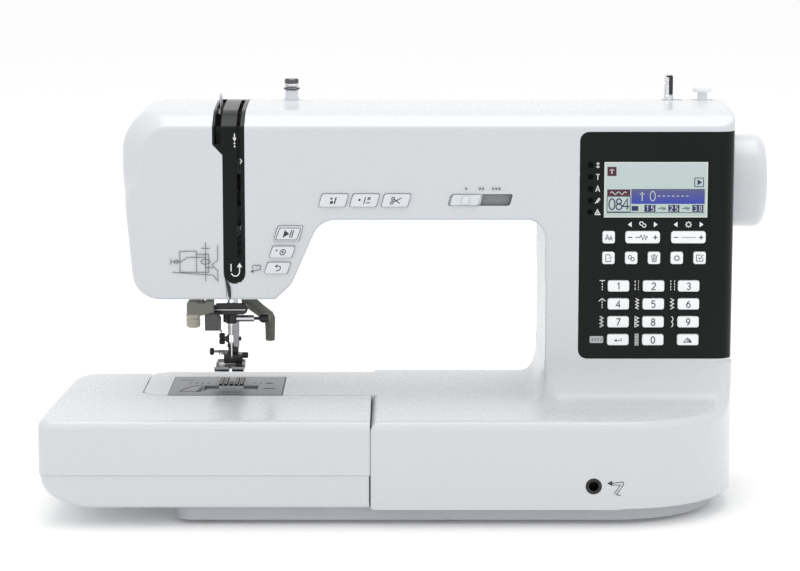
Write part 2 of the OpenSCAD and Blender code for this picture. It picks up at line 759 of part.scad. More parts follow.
module rocker(x) color([0.85, 0.86, 0.87]) {
    block([x - 11.4, arm_y0 - key_proud, 177.5], [x + 11.4, -24, 185.5]);
    bar_z(176, 187, x, -23.8, 1.3);
}

module slanted_button(x, z, w, h, lean) color([0.88, 0.89, 0.9]) {
    front_solid(arm_y0 - key_proud, inner_y + 0.8) slanted(x, z, w, h, lean);
    front_solid(inner_y + 0.3, inner_y + 1.8) slanted(x, z, w + 2, h + 2, lean);
}

module key_1() number_key(0, 0);
module key_2() number_key(1, 0);
module key_3() number_key(2, 0);
module key_4() number_key(0, 1);
module key_5() number_key(1, 1);
module key_6() number_key(2, 1);
module key_7() number_key(0, 2);
module key_8() number_key(1, 2);
module key_9() number_key(2, 2);
module key_return() number_key(0, 3);
module key_0() number_key(1, 3);
module key_mirror() number_key(2, 3);
module key_font() square_key(132.2, 181.5, 8.1, 8.1);
module key_edit() square_key(132.2, 167.7, 8.1, 8.1);
module key_link() square_key(147.25, 167.7, 8.1, 8.1);
module key_delete() square_key(162.3, 167.7, 8.1, 8.1);
module key_setting() square_key(177.35, 167.7, 8.1, 8.1);
module key_confirm() square_key(192.4, 167.7, 8.1, 8.1);
module rocker_width() rocker(154.6);
module rocker_length() rocker(184.8);
module start_stop_button() slanted_button(-79.2, 183.8, 16.4, 10, 3);
module needle_button() slanted_button(-83.3, 171.6, 14.8, 7.5, 2.4);
module reverse_button() slanted_button(-86.5, 160.9, 15, 7.4, 2.4);
module slow_button() slanted_button(-49.3, 205.9, 17.3, 8.4, 2.4);
module tie_off_button() slanted_button(-28.8, 205.9, 17.3, 8.4, 2.4);
module cutter_button() slanted_button(-8.1, 205.9, 17.3, 8.4, 2.4);

module speed_slider() color([0.9, 0.9, 0.92]) {
    front_solid(arm_y0 - 1, inner_y + 0.8) slanted(37.5, 206.1, 20.6, 7.1, 2.1);
    block([34, arm_y0 - 3.2, 203.6], [41, arm_y0 - 0.5, 208.6]);
    front_solid(inner_y + 0.3, inner_y + 2) slanted(37.5, 206.1, 24, 11, 2.4);
}

main_frame();
front_cover();
rear_cover();
face_cover();
thread_guide_cover();
control_panel();
display();
base_plate();
rubber_feet();
needle_plate();
drive_motor();
drive_belts();
circuit_boards();
sockets();
thread_fittings();
bobbin_case();
bobbin();
handwheel();
main_shaft();
lower_shaft();
rotary_hook();
take_up_lever();
needle_bar();
needle();
presser_bar();
presser_foot();
presser_lifter();
needle_threader();
winder_spindle();
bobbin_cover();
feed_dog();
extension_table();
accessory_tray();
key_1();
key_2();
key_3();
key_4();
key_5();
key_6();
key_7();
key_8();
key_9();
key_0();
key_return();
key_mirror();
key_font();
key_edit();
key_link();
key_delete();
key_setting();
key_confirm();
rocker_width();
rocker_length();
start_stop_button();
needle_button();
reverse_button();
slow_button();
tie_off_button();
cutter_button();
speed_slider();
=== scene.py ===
"""Sewing machine: smooth moulded covers, keypad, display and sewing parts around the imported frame."""

import math

import bpy
import bmesh
import numpy as np
from mathutils import Matrix, Vector


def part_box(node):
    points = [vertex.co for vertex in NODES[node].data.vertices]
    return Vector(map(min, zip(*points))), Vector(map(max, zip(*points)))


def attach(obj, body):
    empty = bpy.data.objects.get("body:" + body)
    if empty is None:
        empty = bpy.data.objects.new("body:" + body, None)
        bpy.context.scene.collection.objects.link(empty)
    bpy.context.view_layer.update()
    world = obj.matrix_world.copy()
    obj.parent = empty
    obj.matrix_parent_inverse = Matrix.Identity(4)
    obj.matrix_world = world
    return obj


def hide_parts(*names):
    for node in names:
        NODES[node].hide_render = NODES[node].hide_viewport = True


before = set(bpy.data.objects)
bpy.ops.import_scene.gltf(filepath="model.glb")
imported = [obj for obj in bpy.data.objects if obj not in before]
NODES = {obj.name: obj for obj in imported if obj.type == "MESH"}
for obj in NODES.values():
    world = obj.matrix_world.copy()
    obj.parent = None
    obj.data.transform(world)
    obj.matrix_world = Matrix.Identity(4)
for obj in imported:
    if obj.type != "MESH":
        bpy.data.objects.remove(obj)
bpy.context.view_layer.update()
MM = 0.001


def span(node):
    """Lowest and highest corner of a CAD node in millimetres."""
    lo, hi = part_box(node)
    return np.array(lo) / MM, np.array(hi) / MM


def middle(node):
    """Centre of a CAD node seen from the front."""
    lo, hi = span(node)
    return (lo[0] + hi[0]) / 2, (lo[2] + hi[2]) / 2


# ---- main measures, in millimetres, worked out from the frame ----
face_lo, face_hi = span("face_cover")
front_lo, front_hi = span("front_cover")
plate_lo, plate_hi = span("needle_plate")
table_lo, table_hi = span("extension_table")
tray_hi = span("accessory_tray")[1]
lcd_lo, lcd_hi = span("display")
hook_lo, hook_hi = span("rotary_hook")
HEAD_LEFT, HEAD_Z = face_lo[0], face_lo[2]
BODY_RIGHT, FRONT_Y, BACK_Y, BED_FRONT = front_hi[0], face_lo[1], span("rear_cover")[1][1], front_lo[1]
RIDGE_Z, BED_Z, BASE_Z = front_hi[2], plate_hi[2], front_lo[2]
TABLE_LEFT, TRAY_Z = table_lo[0], tray_hi[2] + 0.3
TABLE_RIGHT, TABLE_BACK = -24.8, table_hi[1]
NEEDLE_X = (hook_lo[0] + hook_hi[0]) / 2
NEEDLE_Y = sum(v[1] for v in span("needle")) / 2
COLUMN_X, THROAT_Z = 90.4, 192.5
SPLIT_Y = 75.0
WALL = 2.5
SEAM = 0.3
ARM_LEFT, ARM_Z, ARM_FRONT, ARM_BACK = -180.0, 26.0, -3.0, 81.0
FACE_X = face_hi[0]
GUIDE_X0, GUIDE_X1, GUIDE_Z = NEEDLE_X - 0.1, -108.0, span("thread_guide_cover")[0][2]
# round parts on top: middles of the winder's tension, its stopper and its spindle
TENSION_X, STOPPER_X, SPINDLE_X, TOP_Y = -79.3, 200.7, 177.6, 45
# the tray's rails under the table, and the tongues that hold the table on the bed
RAILS_X, TONGUES_Y = (-150, -70), (-58, -28)
BUSH_X, BUSH_Z, HUB_Z = 119.7, 27.6, 210.7
GAP = 0.35  # round a key or button
INK = 0.12  # thickness of a printed mark
FILM = 0.05  # thickness of an area on the display


# ---- materials ----
def material(name, colour, rough=0.4, metal=0.0, second=None, grain=0.0, grain_size=1.0, wear=0.0,
             coat=0.0, coat_rough=0.1, alpha=1.0, glow=0.0, brushed=None, transmission=0.0, ior=1.46,
             patch=40.0, specular=0.5):
    """Plastic or metal with colour variation, grain in bump and roughness, all from object space."""
    m = bpy.data.materials.new(name)
    m.use_nodes = True
    nt = m.node_tree
    b = nt.nodes["Principled BSDF"]
    link = nt.links.new
    b.inputs["Metallic"].default_value = metal
    b.inputs["IOR"].default_value = ior
    b.inputs["Coat Weight"].default_value = coat
    b.inputs["Coat Roughness"].default_value = coat_rough
    b.inputs["Alpha"].default_value = alpha
    b.inputs["Transmission Weight"].default_value = transmission
    b.inputs["Specular IOR Level"].default_value = specular
    where = nt.nodes.new("ShaderNodeTexCoord")
    second = second or tuple(c * 0.93 for c in colour)
    broad = nt.nodes.new("ShaderNodeTexNoise")
    broad.inputs["Scale"].default_value = patch
    broad.inputs["Detail"].default_value = 3.0
    link(where.outputs["Object"], broad.inputs["Vector"])
    mix = nt.nodes.new("ShaderNodeMix")
    mix.data_type = "RGBA"
    mix.inputs["A"].default_value = (*colour, 1)
    mix.inputs["B"].default_value = (*second, 1)
    link(broad.outputs["Fac"], mix.inputs["Factor"])
    link(mix.outputs["Result"], b.inputs["Base Color"])
    if glow:
        link(mix.outputs["Result"], b.inputs["Emission Color"])
        b.inputs["Emission Strength"].default_value = glow
    fine = nt.nodes.new("ShaderNodeTexNoise")
    fine.inputs["Scale"].default_value = 1000.0 / grain_size
    fine.inputs["Detail"].default_value = 2.0
    source = where.outputs["Object"]
    if brushed is not None:
        stretch = nt.nodes.new("ShaderNodeMapping")
        stretch.inputs["Scale"].default_value = brushed
        link(source, stretch.inputs["Vector"])
        source = stretch.outputs["Vector"]
    link(source, fine.inputs["Vector"])
    spread = nt.nodes.new("ShaderNodeMapRange")
    spread.inputs["To Min"].default_value = max(rough - 0.06 - wear, 0.02)
    spread.inputs["To Max"].default_value = rough + 0.06 + wear
    link(fine.outputs["Fac"], spread.inputs["Value"])
    link(spread.outputs["Result"], b.inputs["Roughness"])
    if grain:
        bump = nt.nodes.new("ShaderNodeBump")
        bump.inputs["Strength"].default_value = grain
        bump.inputs["Distance"].default_value = 0.05 * MM
        link(fine.outputs["Fac"], bump.inputs["Height"])
        link(bump.outputs["Normal"], b.inputs["Normal"])
    return m


WHITE = material("white_shell", (0.592, 0.608, 0.628), 0.27, second=(0.575, 0.592, 0.612), grain=0.03,
                 grain_size=0.6, coat=0.15, coat_rough=0.12, patch=9)
BLACK = material("black_gloss", (0.0075, 0.0095, 0.009), 0.22, second=(0.006, 0.0078, 0.0075), grain=0.05,
                 grain_size=0.8, specular=0.15, patch=25)
CHANNEL = material("black_satin", (0.012, 0.012, 0.013), 0.42, grain=0.3, grain_size=0.5)
KEYCAP = material("key_white", (0.83, 0.84, 0.85), 0.38, second=(0.8, 0.81, 0.83), grain=0.15,
                  grain_size=0.35)
BUTTON = material("button_silver", (0.66, 0.68, 0.71), 0.33, second=(0.62, 0.64, 0.67), grain=0.12,
                  grain_size=0.3, coat=0.3)
GREY_BASE = material("base_grey", (0.47, 0.485, 0.51), 0.5, grain=0.5, grain_size=0.6)
PRINT_DARK = material("print_dark", (0.03, 0.032, 0.036), 0.5, grain=0.1, grain_size=0.2)
PRINT_GREY = material("print_grey", (0.13, 0.135, 0.145), 0.5, grain=0.1, grain_size=0.2)
PRINT_WHITE = material("print_white", (0.78, 0.79, 0.79), 0.5, grain=0.1, grain_size=0.2)
TRACK = material("slider_track_grey", (0.30, 0.305, 0.32), 0.4, second=(0.22, 0.225, 0.24), grain=0.2,
                 grain_size=0.4, patch=60)
PRINT_LIGHT = material("print_light_grey", (0.42, 0.43, 0.44), 0.5, grain=0.1, grain_size=0.2)
LAMP = material("lamp_dark", (0.0015, 0.0018, 0.002), 0.5, grain=0.05, specular=0.05)
CHROME = material("chrome_plate", (0.78, 0.79, 0.81), 0.12, metal=1.0, second=(0.7, 0.71, 0.73), grain=0.08,
                  grain_size=0.4, wear=0.02)
DARK_CHROME = material("dark_chrome", (0.16, 0.16, 0.165), 0.16, metal=1.0, second=(0.09, 0.09, 0.095),
                       grain=0.1, grain_size=0.4, patch=200)
STEEL = material("ground_steel", (0.5, 0.5, 0.51), 0.33, metal=1.0, second=(0.42, 0.42, 0.43), grain=0.4,
                 grain_size=0.5, brushed=(0.2, 1.0, 1.0))
PLATE = material("needle_plate_satin", (0.30, 0.305, 0.315), 0.42, metal=0.85, second=(0.24, 0.245, 0.255),
                 grain=0.7, grain_size=0.35, patch=300)
DARK_STEEL = material("burnished_steel", (0.11, 0.11, 0.115), 0.3, metal=0.9, second=(0.2, 0.2, 0.2),
                      grain=0.5, grain_size=0.4, patch=260)
THREADER = material("threader_beige", (0.235, 0.235, 0.205), 0.45, second=(0.2, 0.2, 0.172), grain=0.4,
                    grain_size=0.3)
KNOB_BEIGE = material("knob_beige", (0.5, 0.48, 0.41), 0.42, second=(0.46, 0.44, 0.37), grain=0.35,
                      grain_size=0.3)
LIFTER = material("lifter_grey", (0.19, 0.19, 0.163), 0.4, second=(0.16, 0.16, 0.138), grain=0.4,
                  grain_size=0.3)
BLACKED = material("blacked_steel", (0.012, 0.012, 0.013), 0.3, second=(0.03, 0.03, 0.032), grain=0.4,
                   grain_size=0.4, patch=300)
STEEL_BRIGHT = material("foot_steel", (0.42, 0.42, 0.43), 0.28, metal=1.0, second=(0.24, 0.24, 0.25),
                        grain=0.3, grain_size=0.4, patch=320)
SPECKLED = material("speckled_dark", (0.02, 0.02, 0.021), 0.4, second=(0.17, 0.17, 0.165), grain=0.8,
                    grain_size=0.5, patch=900)
RUBBER = material("foot_rubber", (0.022, 0.022, 0.023), 0.75, second=(0.03, 0.03, 0.03), grain=0.8,
                  grain_size=0.5)
CAST = material("cast_alloy", (0.42, 0.43, 0.44), 0.55, metal=0.9, second=(0.36, 0.37, 0.38), grain=1.0,
                grain_size=1.2)
ENAMEL = material("motor_black", (0.03, 0.03, 0.034), 0.35, grain=0.6, grain_size=0.8)
BOARD = material("solder_mask", (0.02, 0.11, 0.05), 0.35, second=(0.03, 0.16, 0.07), grain=0.3,
                 grain_size=0.7, patch=220)
# smoked clear plastic of the bobbin cover, made lighter as painted light to offset the shade where the cover
# sits below the needle plate
SMOKED_PAINTED_LIGHT = material("smoked_clear_painted_light", (0.42, 0.435, 0.45), 0.25, second=(0.37, 0.385, 0.4), grain=0.05, coat=0.2,
                  alpha=0.93, patch=60)
CLEAR = material("milky_clear", (0.78, 0.81, 0.84), 0.16, second=(0.72, 0.76, 0.8), grain=0.05, coat=0.4,
                 alpha=0.8, patch=60)
MILKY = material("milky_white", (0.84, 0.86, 0.88), 0.2, second=(0.78, 0.81, 0.84), grain=0.05, coat=0.4,
                 patch=60)


# ---- mesh helpers ----
def add_object(name, mesh, mat, body, replaces=()):
    """Puts a finished mesh in the scene, riding on its CAD body."""
    o = bpy.data.objects.new(name, mesh)
    bpy.context.scene.collection.objects.link(o)
    for m in (mat if isinstance(mat, (list, tuple)) else [mat]):
        mesh.materials.append(m)
    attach(o, body)
    if replaces:
        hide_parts(*replaces)
    return o


def mesh_from(name, verts, faces):
    """Mesh from millimetre points."""
    me = bpy.data.meshes.new(name)
    me.from_pydata([tuple(float(c) * MM for c in v) for v in verts], [], [tuple(map(int, f)) for f in faces])
    me.validate()
    return me


def smooth(mesh, angle=35):
    """Smooth shading with crisp edges where two faces meet at more than the angle."""
    mesh.polygons.foreach_set("use_smooth", [True] * len(mesh.polygons))
    mesh.set_sharp_from_angle(angle=math.radians(angle))


class Solid:
    """Collects closed bodies in millimetres and turns them into one mesh."""

    def __init__(self):
        self.bm = bmesh.new()
        self.index = 0

    def use(self, index):
        """Material index of the bodies added from now on."""
        self.index = index
        return self

    def _mark(self, faces):
        for f in faces:
            f.material_index = self.index

    def loft(self, rings, cap=True):
        """Skin over closed rings with the same number of points."""
        rows = [[self.bm.verts.new(tuple(float(c) for c in p)) for p in ring] for ring in rings]
        faces = []
        n = len(rows[0])
        for a, b in zip(rows, rows[1:]):
            for i in range(n):
                j = (i + 1) % n
                faces.append(self.bm.faces.new((a[i], a[j], b[j], b[i])))
        if cap:
            faces.append(self.bm.faces.new(rows[0][::-1]))
            faces.append(self.bm.faces.new(rows[-1]))
        self._mark(faces)
        return self

    def prism(self, outline, base, edge=0.0, steps=3, both=False):
        """outline: function(inset) -> list of 3-D points at depth 0; base: (start, end, unit normal)."""
        start, end, normal = base
        n = np.array(normal, float)
        depths = []
        if both and edge:
            depths += [(start + edge * (1 - math.cos(a)), edge * (1 - math.sin(a)))
                       for a in np.linspace(0, math.pi / 2, steps + 1)]
        else:
            depths.append((start, 0.0))
        if edge:
            depths += [(end - edge * (1 - math.sin(a)), edge * (1 - math.cos(a)))
                       for a in np.linspace(0, math.pi / 2, steps + 1)]
        else:
            depths.append((end, 0.0))
        self.loft([[np.array(p, float) + n * d for p in outline(inset)] for d, inset in depths])
        return self

    def lathe(self, profile, axis="z", centre=(0, 0, 0), n=48):
        """Turns (radius, position) pairs round an axis; the first and last radius may be zero."""
        c = np.array(centre, float)
        u, v, w = {"x": ((0, 1, 0), (0, 0, 1), (1, 0, 0)), "y": ((0, 0, 1), (1, 0, 0), (0, 1, 0)),
                   "z": ((1, 0, 0), (0, 1, 0), (0, 0, 1))}[axis]
        u, v, w = (np.array(q, float) for q in (u, v, w))
        rings, faces = [], []
        for r, t in profile:
            if r < 1e-6:
                rings.append([self.bm.verts.new(tuple(c + w * t))])
            else:
                rings.append([self.bm.verts.new(tuple(c + w * t + r * (u * math.cos(a) + v * math.sin(a))))
                              for a in np.linspace(0, 2 * math.pi, n, endpoint=False)])
        for a, b in zip(rings, rings[1:]):
            for i in range(n):
                j = (i + 1) % n
                if len(a) == 1:
                    faces.append(self.bm.faces.new((a[0], b[j], b[i])))
                elif len(b) == 1:
                    faces.append(self.bm.faces.new((a[i], a[j], b[0])))
                else:
                    faces.append(self.bm.faces.new((a[i], a[j], b[j], b[i])))
        if len(rings[0]) > 1:
            faces.append(self.bm.faces.new(rings[0][::-1]))
        if len(rings[-1]) > 1:
            faces.append(self.bm.faces.new(rings[-1]))
        self._mark(faces)
        return self

    def tube(self, path, r, n=10):
        """Round bar along a list of points."""
        pts = [np.array(p, float) for p in path]
        rings = []
        side = None
        for k, p in enumerate(pts):
            d = pts[min(k + 1, len(pts) - 1)] - pts[max(k - 1, 0)]
            d /= np.linalg.norm(d)
            if side is None:
                side = np.cross(d, (0, 0, 1) if abs(d[2]) < 0.9 else (1, 0, 0))
            side = side - d * side.dot(d)
            side /= np.linalg.norm(side)
            up = np.cross(d, side)
            rings.append([p + r * (side * math.cos(a) + up * math.sin(a))
                          for a in np.linspace(0, 2 * math.pi, n, endpoint=False)])
        return self.loft(rings)

    def box(self, lo, hi, edge=0.4):
        """Block with rounded edges."""
        lo, hi = np.array(lo, float), np.array(hi, float)
        e = min(edge, 0.45 * min(hi - lo))

        def outline(inset):
            return rounded(lo[0] + inset, hi[0] - inset, lo[1] + inset, hi[1] - inset, max(e - inset, 0.02),
                           "xy")
        return self.prism(outline, (lo[2], hi[2], (0, 0, 1)), e, 2, True)

    def add(self, name, mat, body="chassis", replaces=(), slot=None, angle=35):
        """Turns the bodies into one object of the scene."""
        return add_object(name, self.mesh(name, angle), mat, body, replaces)

    def mesh(self, name, angle=35):
        bmesh.ops.recalc_face_normals(self.bm, faces=self.bm.faces)
        me = bpy.data.meshes.new(name)
        self.bm.to_mesh(me)
        self.bm.free()
        me.transform(Matrix.Scale(MM, 4))
        smooth(me, angle)
        return me


def rounded(a0, a1, b0, b1, r, plane="xz", at=0.0, steps=5, lean=0.0):
    """Rounded rectangle in the XZ, XY or YZ plane; lean shears the top to the right."""
    pts = []
    corners = ((a1 - r, b1 - r), (a0 + r, b1 - r), (a0 + r, b0 + r), (a1 - r, b0 + r))
    for quarter, (ca, cb) in enumerate(corners):
        for k in range(steps + 1):
            t = math.radians(90 * quarter + 90 * k / steps)
            pts.append((ca + r * math.cos(t), cb + r * math.sin(t)))
    mid, high = (b0 + b1) / 2, max(b1 - b0, 0.01)
    pts = [(a + lean * (b - mid) / high, b) for a, b in pts]
    if plane == "xz":
        return [(a, at, b) for a, b in pts]
    if plane == "xy":
        return [(a, b, at) for a, b in pts]
    return [(at, a, b) for a, b in pts]


def arc(cu, cv, ru, rv, a0, a1, n=9):
    """Points along an ellipse between two angles in degrees."""
    return [(cu + ru * math.cos(a), cv + rv * math.sin(a))
            for a in np.linspace(math.radians(a0), math.radians(a1), n)]


def ribbon(solid, path, width, face, top=False):
    """Printed line of even width on a face that looks forwards, or upwards when top is set."""
    pts = np.array(path, float)
    sign = 1 if top else -1
    depths = (face - sign * 0.05, face + sign * INK)
    rings = []
    for k, p in enumerate(pts):
        before, after = pts[max(k - 1, 0)], pts[min(k + 1, len(pts) - 1)]
        a = p - before if k else after - p
        b = after - p if k < len(pts) - 1 else a
        a, b = a / np.hypot(*a), b / np.hypot(*b)
        t = a + b if np.hypot(*(a + b)) > 0.2 else a
        t = t / np.hypot(*t)
        n = np.array((-t[1], t[0]))
        n = n * width / 2 / max(n.dot((-a[1], a[0])), 0.45)
        ring = [(p + n, depths[0]), (p - n, depths[0]), (p - n, depths[1]), (p + n, depths[1])]
        rings.append([(q[0], q[1], d) if top else (q[0], d, q[1]) for q, d in ring])
    solid.loft(rings)


def patch(solid, outline, face, top=False, thick=INK):
    """Printed area."""
    sign = 1 if top else -1
    solid.loft([[(u, v, d) if top else (u, d, v) for u, v in outline]
                for d in (face - sign * 0.05, face + sign * thick)])


def draw(solid, icon, x, z, size, width, face, lean=0.0, top=False):
    """Draws an icon, given as lines and filled areas one unit high, at a place on a face."""
    lines, areas = icon
    for line in lines:
        ribbon(solid, [(x + (u + lean * v) * size, z + v * size) for u, v in line], width, face, top)
    for area in areas:
        patch(solid, [(x + (u + lean * v) * size, z + v * size) for u, v in area], face, top)


def cutter(name, lo, hi):
    """Plain box used only as a cutting tool."""
    x0, y0, z0 = lo
    x1, y1, z1 = hi
    v = [(x, y, z) for x in (x0, x1) for y in (y0, y1) for z in (z0, z1)]
    f = [(0, 1, 3, 2), (4, 6, 7, 5), (0, 4, 5, 1), (2, 3, 7, 6), (0, 2, 6, 4), (1, 5, 7, 3)]
    return mesh_from(name, v, f)


def prism_cutter(points, y0, y1):
    """Cutting tool with an outline seen from the front."""
    n = len(points)
    v = [(x, y0, z) for x, z in points] + [(x, y1, z) for x, z in points]
    f = [tuple(range(n)), tuple(range(2 * n - 1, n - 1, -1))]
    f += [(i + n, (i + 1) % n + n, (i + 1) % n, i) for i in range(n)]
    me = mesh_from("cutter", v, f)
    bm = bmesh.new()
    bm.from_mesh(me)
    bmesh.ops.recalc_face_normals(bm, faces=bm.faces)
    bm.to_mesh(me)
    bm.free()
    return me


def boolean(mesh, remove, keep=None):
    """Cuts the tools in remove off a mesh, after keeping only what lies inside keep."""
    o = bpy.data.objects.new("work", mesh)
    bpy.context.scene.collection.objects.link(o)
    tools = []
    for op, tool in ([("INTERSECT", keep)] if keep else []) + [("DIFFERENCE", tool) for tool in remove]:
        t = bpy.data.objects.new("tool", tool)
        bpy.context.scene.collection.objects.link(t)
        tools.append(t)
        m = o.modifiers.new("cut", "BOOLEAN")
        m.operation, m.solver, m.object = op, "MANIFOLD", t
    deps = bpy.context.evaluated_depsgraph_get()
    deps.update()
    out = bpy.data.meshes.new_from_object(o.evaluated_get(deps))
    out.materials.clear()
    for t in tools + [o]:
        bpy.data.objects.remove(t)
    return out


def finish_nodes(mat, *names):
    """Materials for CAD pieces that keep their own shape."""
    for n in names:
        mesh = NODES[n].data
        mesh.materials.clear()
        mesh.materials.append(mat)


# ---- signed distances: negative inside, millimetres ----
def round_max(a, b, r):
    """Intersection of two shapes with a rounded outer edge of radius r."""
    return np.minimum(-r, np.maximum(a, b)) + np.hypot(np.maximum(a + r, 0), np.maximum(b + r, 0))


def round_min(a, b, r):
    """Union of two shapes with a hollow fillet of radius r."""
    return np.maximum(r, np.minimum(a, b)) - np.hypot(np.maximum(r - a, 0), np.maximum(r - b, 0))


def ease(t):
    """Soft step from 0 to 1."""
    t = np.clip(t, 0, 1)
    return t * t * (3 - 2 * t)


def plane_through(u, v, a, b):
    """Distance to the line through a and b in a plane; the left of a -> b is outside."""
    d = np.array(b, float) - np.array(a, float)
    d /= np.hypot(*d)
    return (v - a[1]) * d[0] - (u - a[0]) * d[1]


SHOULDER = 31  # radius of the head's upper left corner
SHOULDER_TOP = 263  # where the soft bevel along the top ends
HEAD_EDGE = HEAD_LEFT + 3.2
LEAN_Z, LEAN_BLEND, LEAN = 215, 16, math.radians(5.6)  # below LEAN_Z the left side leans in
SLANT_X, SLANT_Z, SLANT_RUN = -60.7, 187.4, 0.4385  # slanting side of the head over the throat
CHAMFER_X, CHAMFER_TOP, CHAMFER = -88.3, 151, math.radians(42)
FRONT_EDGE, REAR_EDGE = (-9, SHOULDER_TOP), (84, 261.5)  # of the sloping top, as (y, z)
RIDGE_Y = 42


def head_side(x, z):
    """Head, arm and column seen from the front."""
    top = z - RIDGE_Z
    drop = np.clip(LEAN_Z - z, -LEAN_BLEND, None)
    drop = np.where(drop < LEAN_BLEND, (drop + LEAN_BLEND) ** 2 / (4 * LEAN_BLEND), drop)
    left = HEAD_EDGE - x + drop * math.tan(LEAN)
    outer = round_max(round_max(left, top, SHOULDER), round_max(x - BODY_RIGHT, top, 6), 1)
    slant = plane_through(x, z, (SLANT_X, SLANT_Z), (SLANT_X + SLANT_RUN, SLANT_Z + 1))
    hole = round_max(round_max(x - COLUMN_X, z - THROAT_Z, 12), slant, 9)
    under = np.maximum(z - HEAD_Z, x - COLUMN_X)
    chamfer = -(x - CHAMFER_X) * math.sin(CHAMFER) + (z - HEAD_Z) * math.cos(CHAMFER)
    chamfer = np.maximum(np.maximum(chamfer, z - CHAMFER_TOP), x - COLUMN_X)
    void = round_min(np.minimum(under, chamfer), hole, 1.5)
    return round_max(outer, -void, 11 + 7 * ease((-140 - x) / 25)), left


def depth(y, z):
    """Head, arm and column seen from the right-hand end, without the soft bevel in front."""
    d = np.maximum(FRONT_Y - y, y - BACK_Y)
    d = round_max(d, plane_through(y, z, FRONT_EDGE, (RIDGE_Y, RIDGE_Z)), 3)
    d = round_max(d, plane_through(y, z, (RIDGE_Y, RIDGE_Z), REAR_EDGE), 3)
    return round_max(d, plane_through(y, z, REAR_EDGE, (BACK_Y, 256)), 3)


def plan_upper(x, y):
    """Head, arm and column seen from above."""
    left = round_max(round_max(HEAD_LEFT - x, FRONT_Y - y, 24), y - BACK_Y, 20)
    right = round_max(round_max(x - BODY_RIGHT, FRONT_Y - y, 14), y - BACK_Y, 14)
    return np.maximum(left, right)


def upper_body(x, y, z):
    """Head, arm and column, with the soft bevel round the front."""
    side, left = head_side(x, z)
    body = round_max(side, depth(y, z), 2.5)
    body = round_max(body, plan_upper(x, y), 2.5)
    # soft bevel: narrow along the top, wide round the left shoulder, gone lower down on the left
    corner_x, corner_z = HEAD_EDGE + SHOULDER, SHOULDER_TOP - SHOULDER
    dx, dz = corner_x - x, z - corner_z
    round_part = SHOULDER - np.hypot(np.maximum(dx, 0), np.maximum(dz, 0))
    inset = np.where((dx > 0) & (dz > 0), round_part, np.minimum(-left, SHOULDER_TOP - z))
    share = np.where((dx > 0) & (dz > 0), np.arctan2(np.maximum(dz, 0), np.maximum(dx, 1e-3)) / (math.pi / 2),
                     np.where(dz > dx, 1.0, 0.0))
    share = ease(share)
    width = 9 * share + 17 * (1 - share) * ease((z - 196) / 34)
    width = np.maximum(width, 0.5)
    bevel = (1 - inset / width - (y - FRONT_Y) / 19) / np.hypot(1 / width, 1 / 19.0)
    return np.maximum(round_max(body, bevel, 2.2), 40 - z)


def bed_body(x, y, z):
    """Bed under the column, with the fillet where the column meets it."""
    plan = round_max(round_max(x - BODY_RIGHT, BED_FRONT - y, 80), y - BACK_Y, 14)
    plan = np.maximum(plan, -24.5 - x)
    column = round_max(COLUMN_X - x, FRONT_Y - y, 3)
    fillet = 12 + 14 * ease((x - 84) / 16)
    top = round_min(column, z - BED_Z, fillet)
    edge = 2 + 5 * ease((20 - y) / 40)
    return np.maximum(round_max(plan, top, edge), BASE_Z - z)


def free_arm(x, y, z):
    """Narrow arm that the table slides over."""
    plan = round_max(round_max(ARM_LEFT - x, ARM_FRONT - y, 14), y - ARM_BACK, 14)
    plan = np.maximum(plan, x + 15)
    return round_max(plan, np.maximum(z - BED_Z, ARM_Z - z), 0.35)


def machine(x, y, z):
    """All the moulded covers as one shape."""
    upper = upper_body(x, y, z)
    low = np.minimum(bed_body(x, y, z), free_arm(x, y, z))
    return np.where(z > 97, upper, np.minimum(upper, low))


def table_shape(x, y, z):
    """Extension table and tray as one shape, boat-shaped at the left end."""
    left = plane_through(x, y, (TABLE_LEFT, -66), (TABLE_LEFT + 10, 90))
    plan = round_max(round_max(left, BED_FRONT - y, 14), y - TABLE_BACK, 22)
    boat = np.hypot(np.minimum(x + 201, 0) / 39, np.minimum(z - TRAY_Z, 0) / 22.5)
    boat = np.where(x < -201, (boat - 1) * 22.5, BASE_Z + 0.5 - z)
    boat = np.maximum(boat, BASE_Z + 0.5 - z)
    d = round_max(round_max(plan, z - BED_Z, 7), boat, 2.5)
    well = round_max(ARM_LEFT - 0.35 - x, ARM_FRONT - 0.35 - y, 14.35)
    return np.maximum(np.maximum(d, x - TABLE_RIGHT), -well)


def gradient(f, p, h=0.05):
    """Unit direction in which f grows fastest at each point."""
    g = np.empty_like(p)
    for k in range(3):
        a, b = p.copy(), p.copy()
        a[:, k] += h
        b[:, k] -= h
        g[:, k] = f(a[:, 0], a[:, 1], a[:, 2]) - f(b[:, 0], b[:, 1], b[:, 2])
    return g / np.maximum(np.linalg.norm(g, axis=1, keepdims=True), 1e-9)


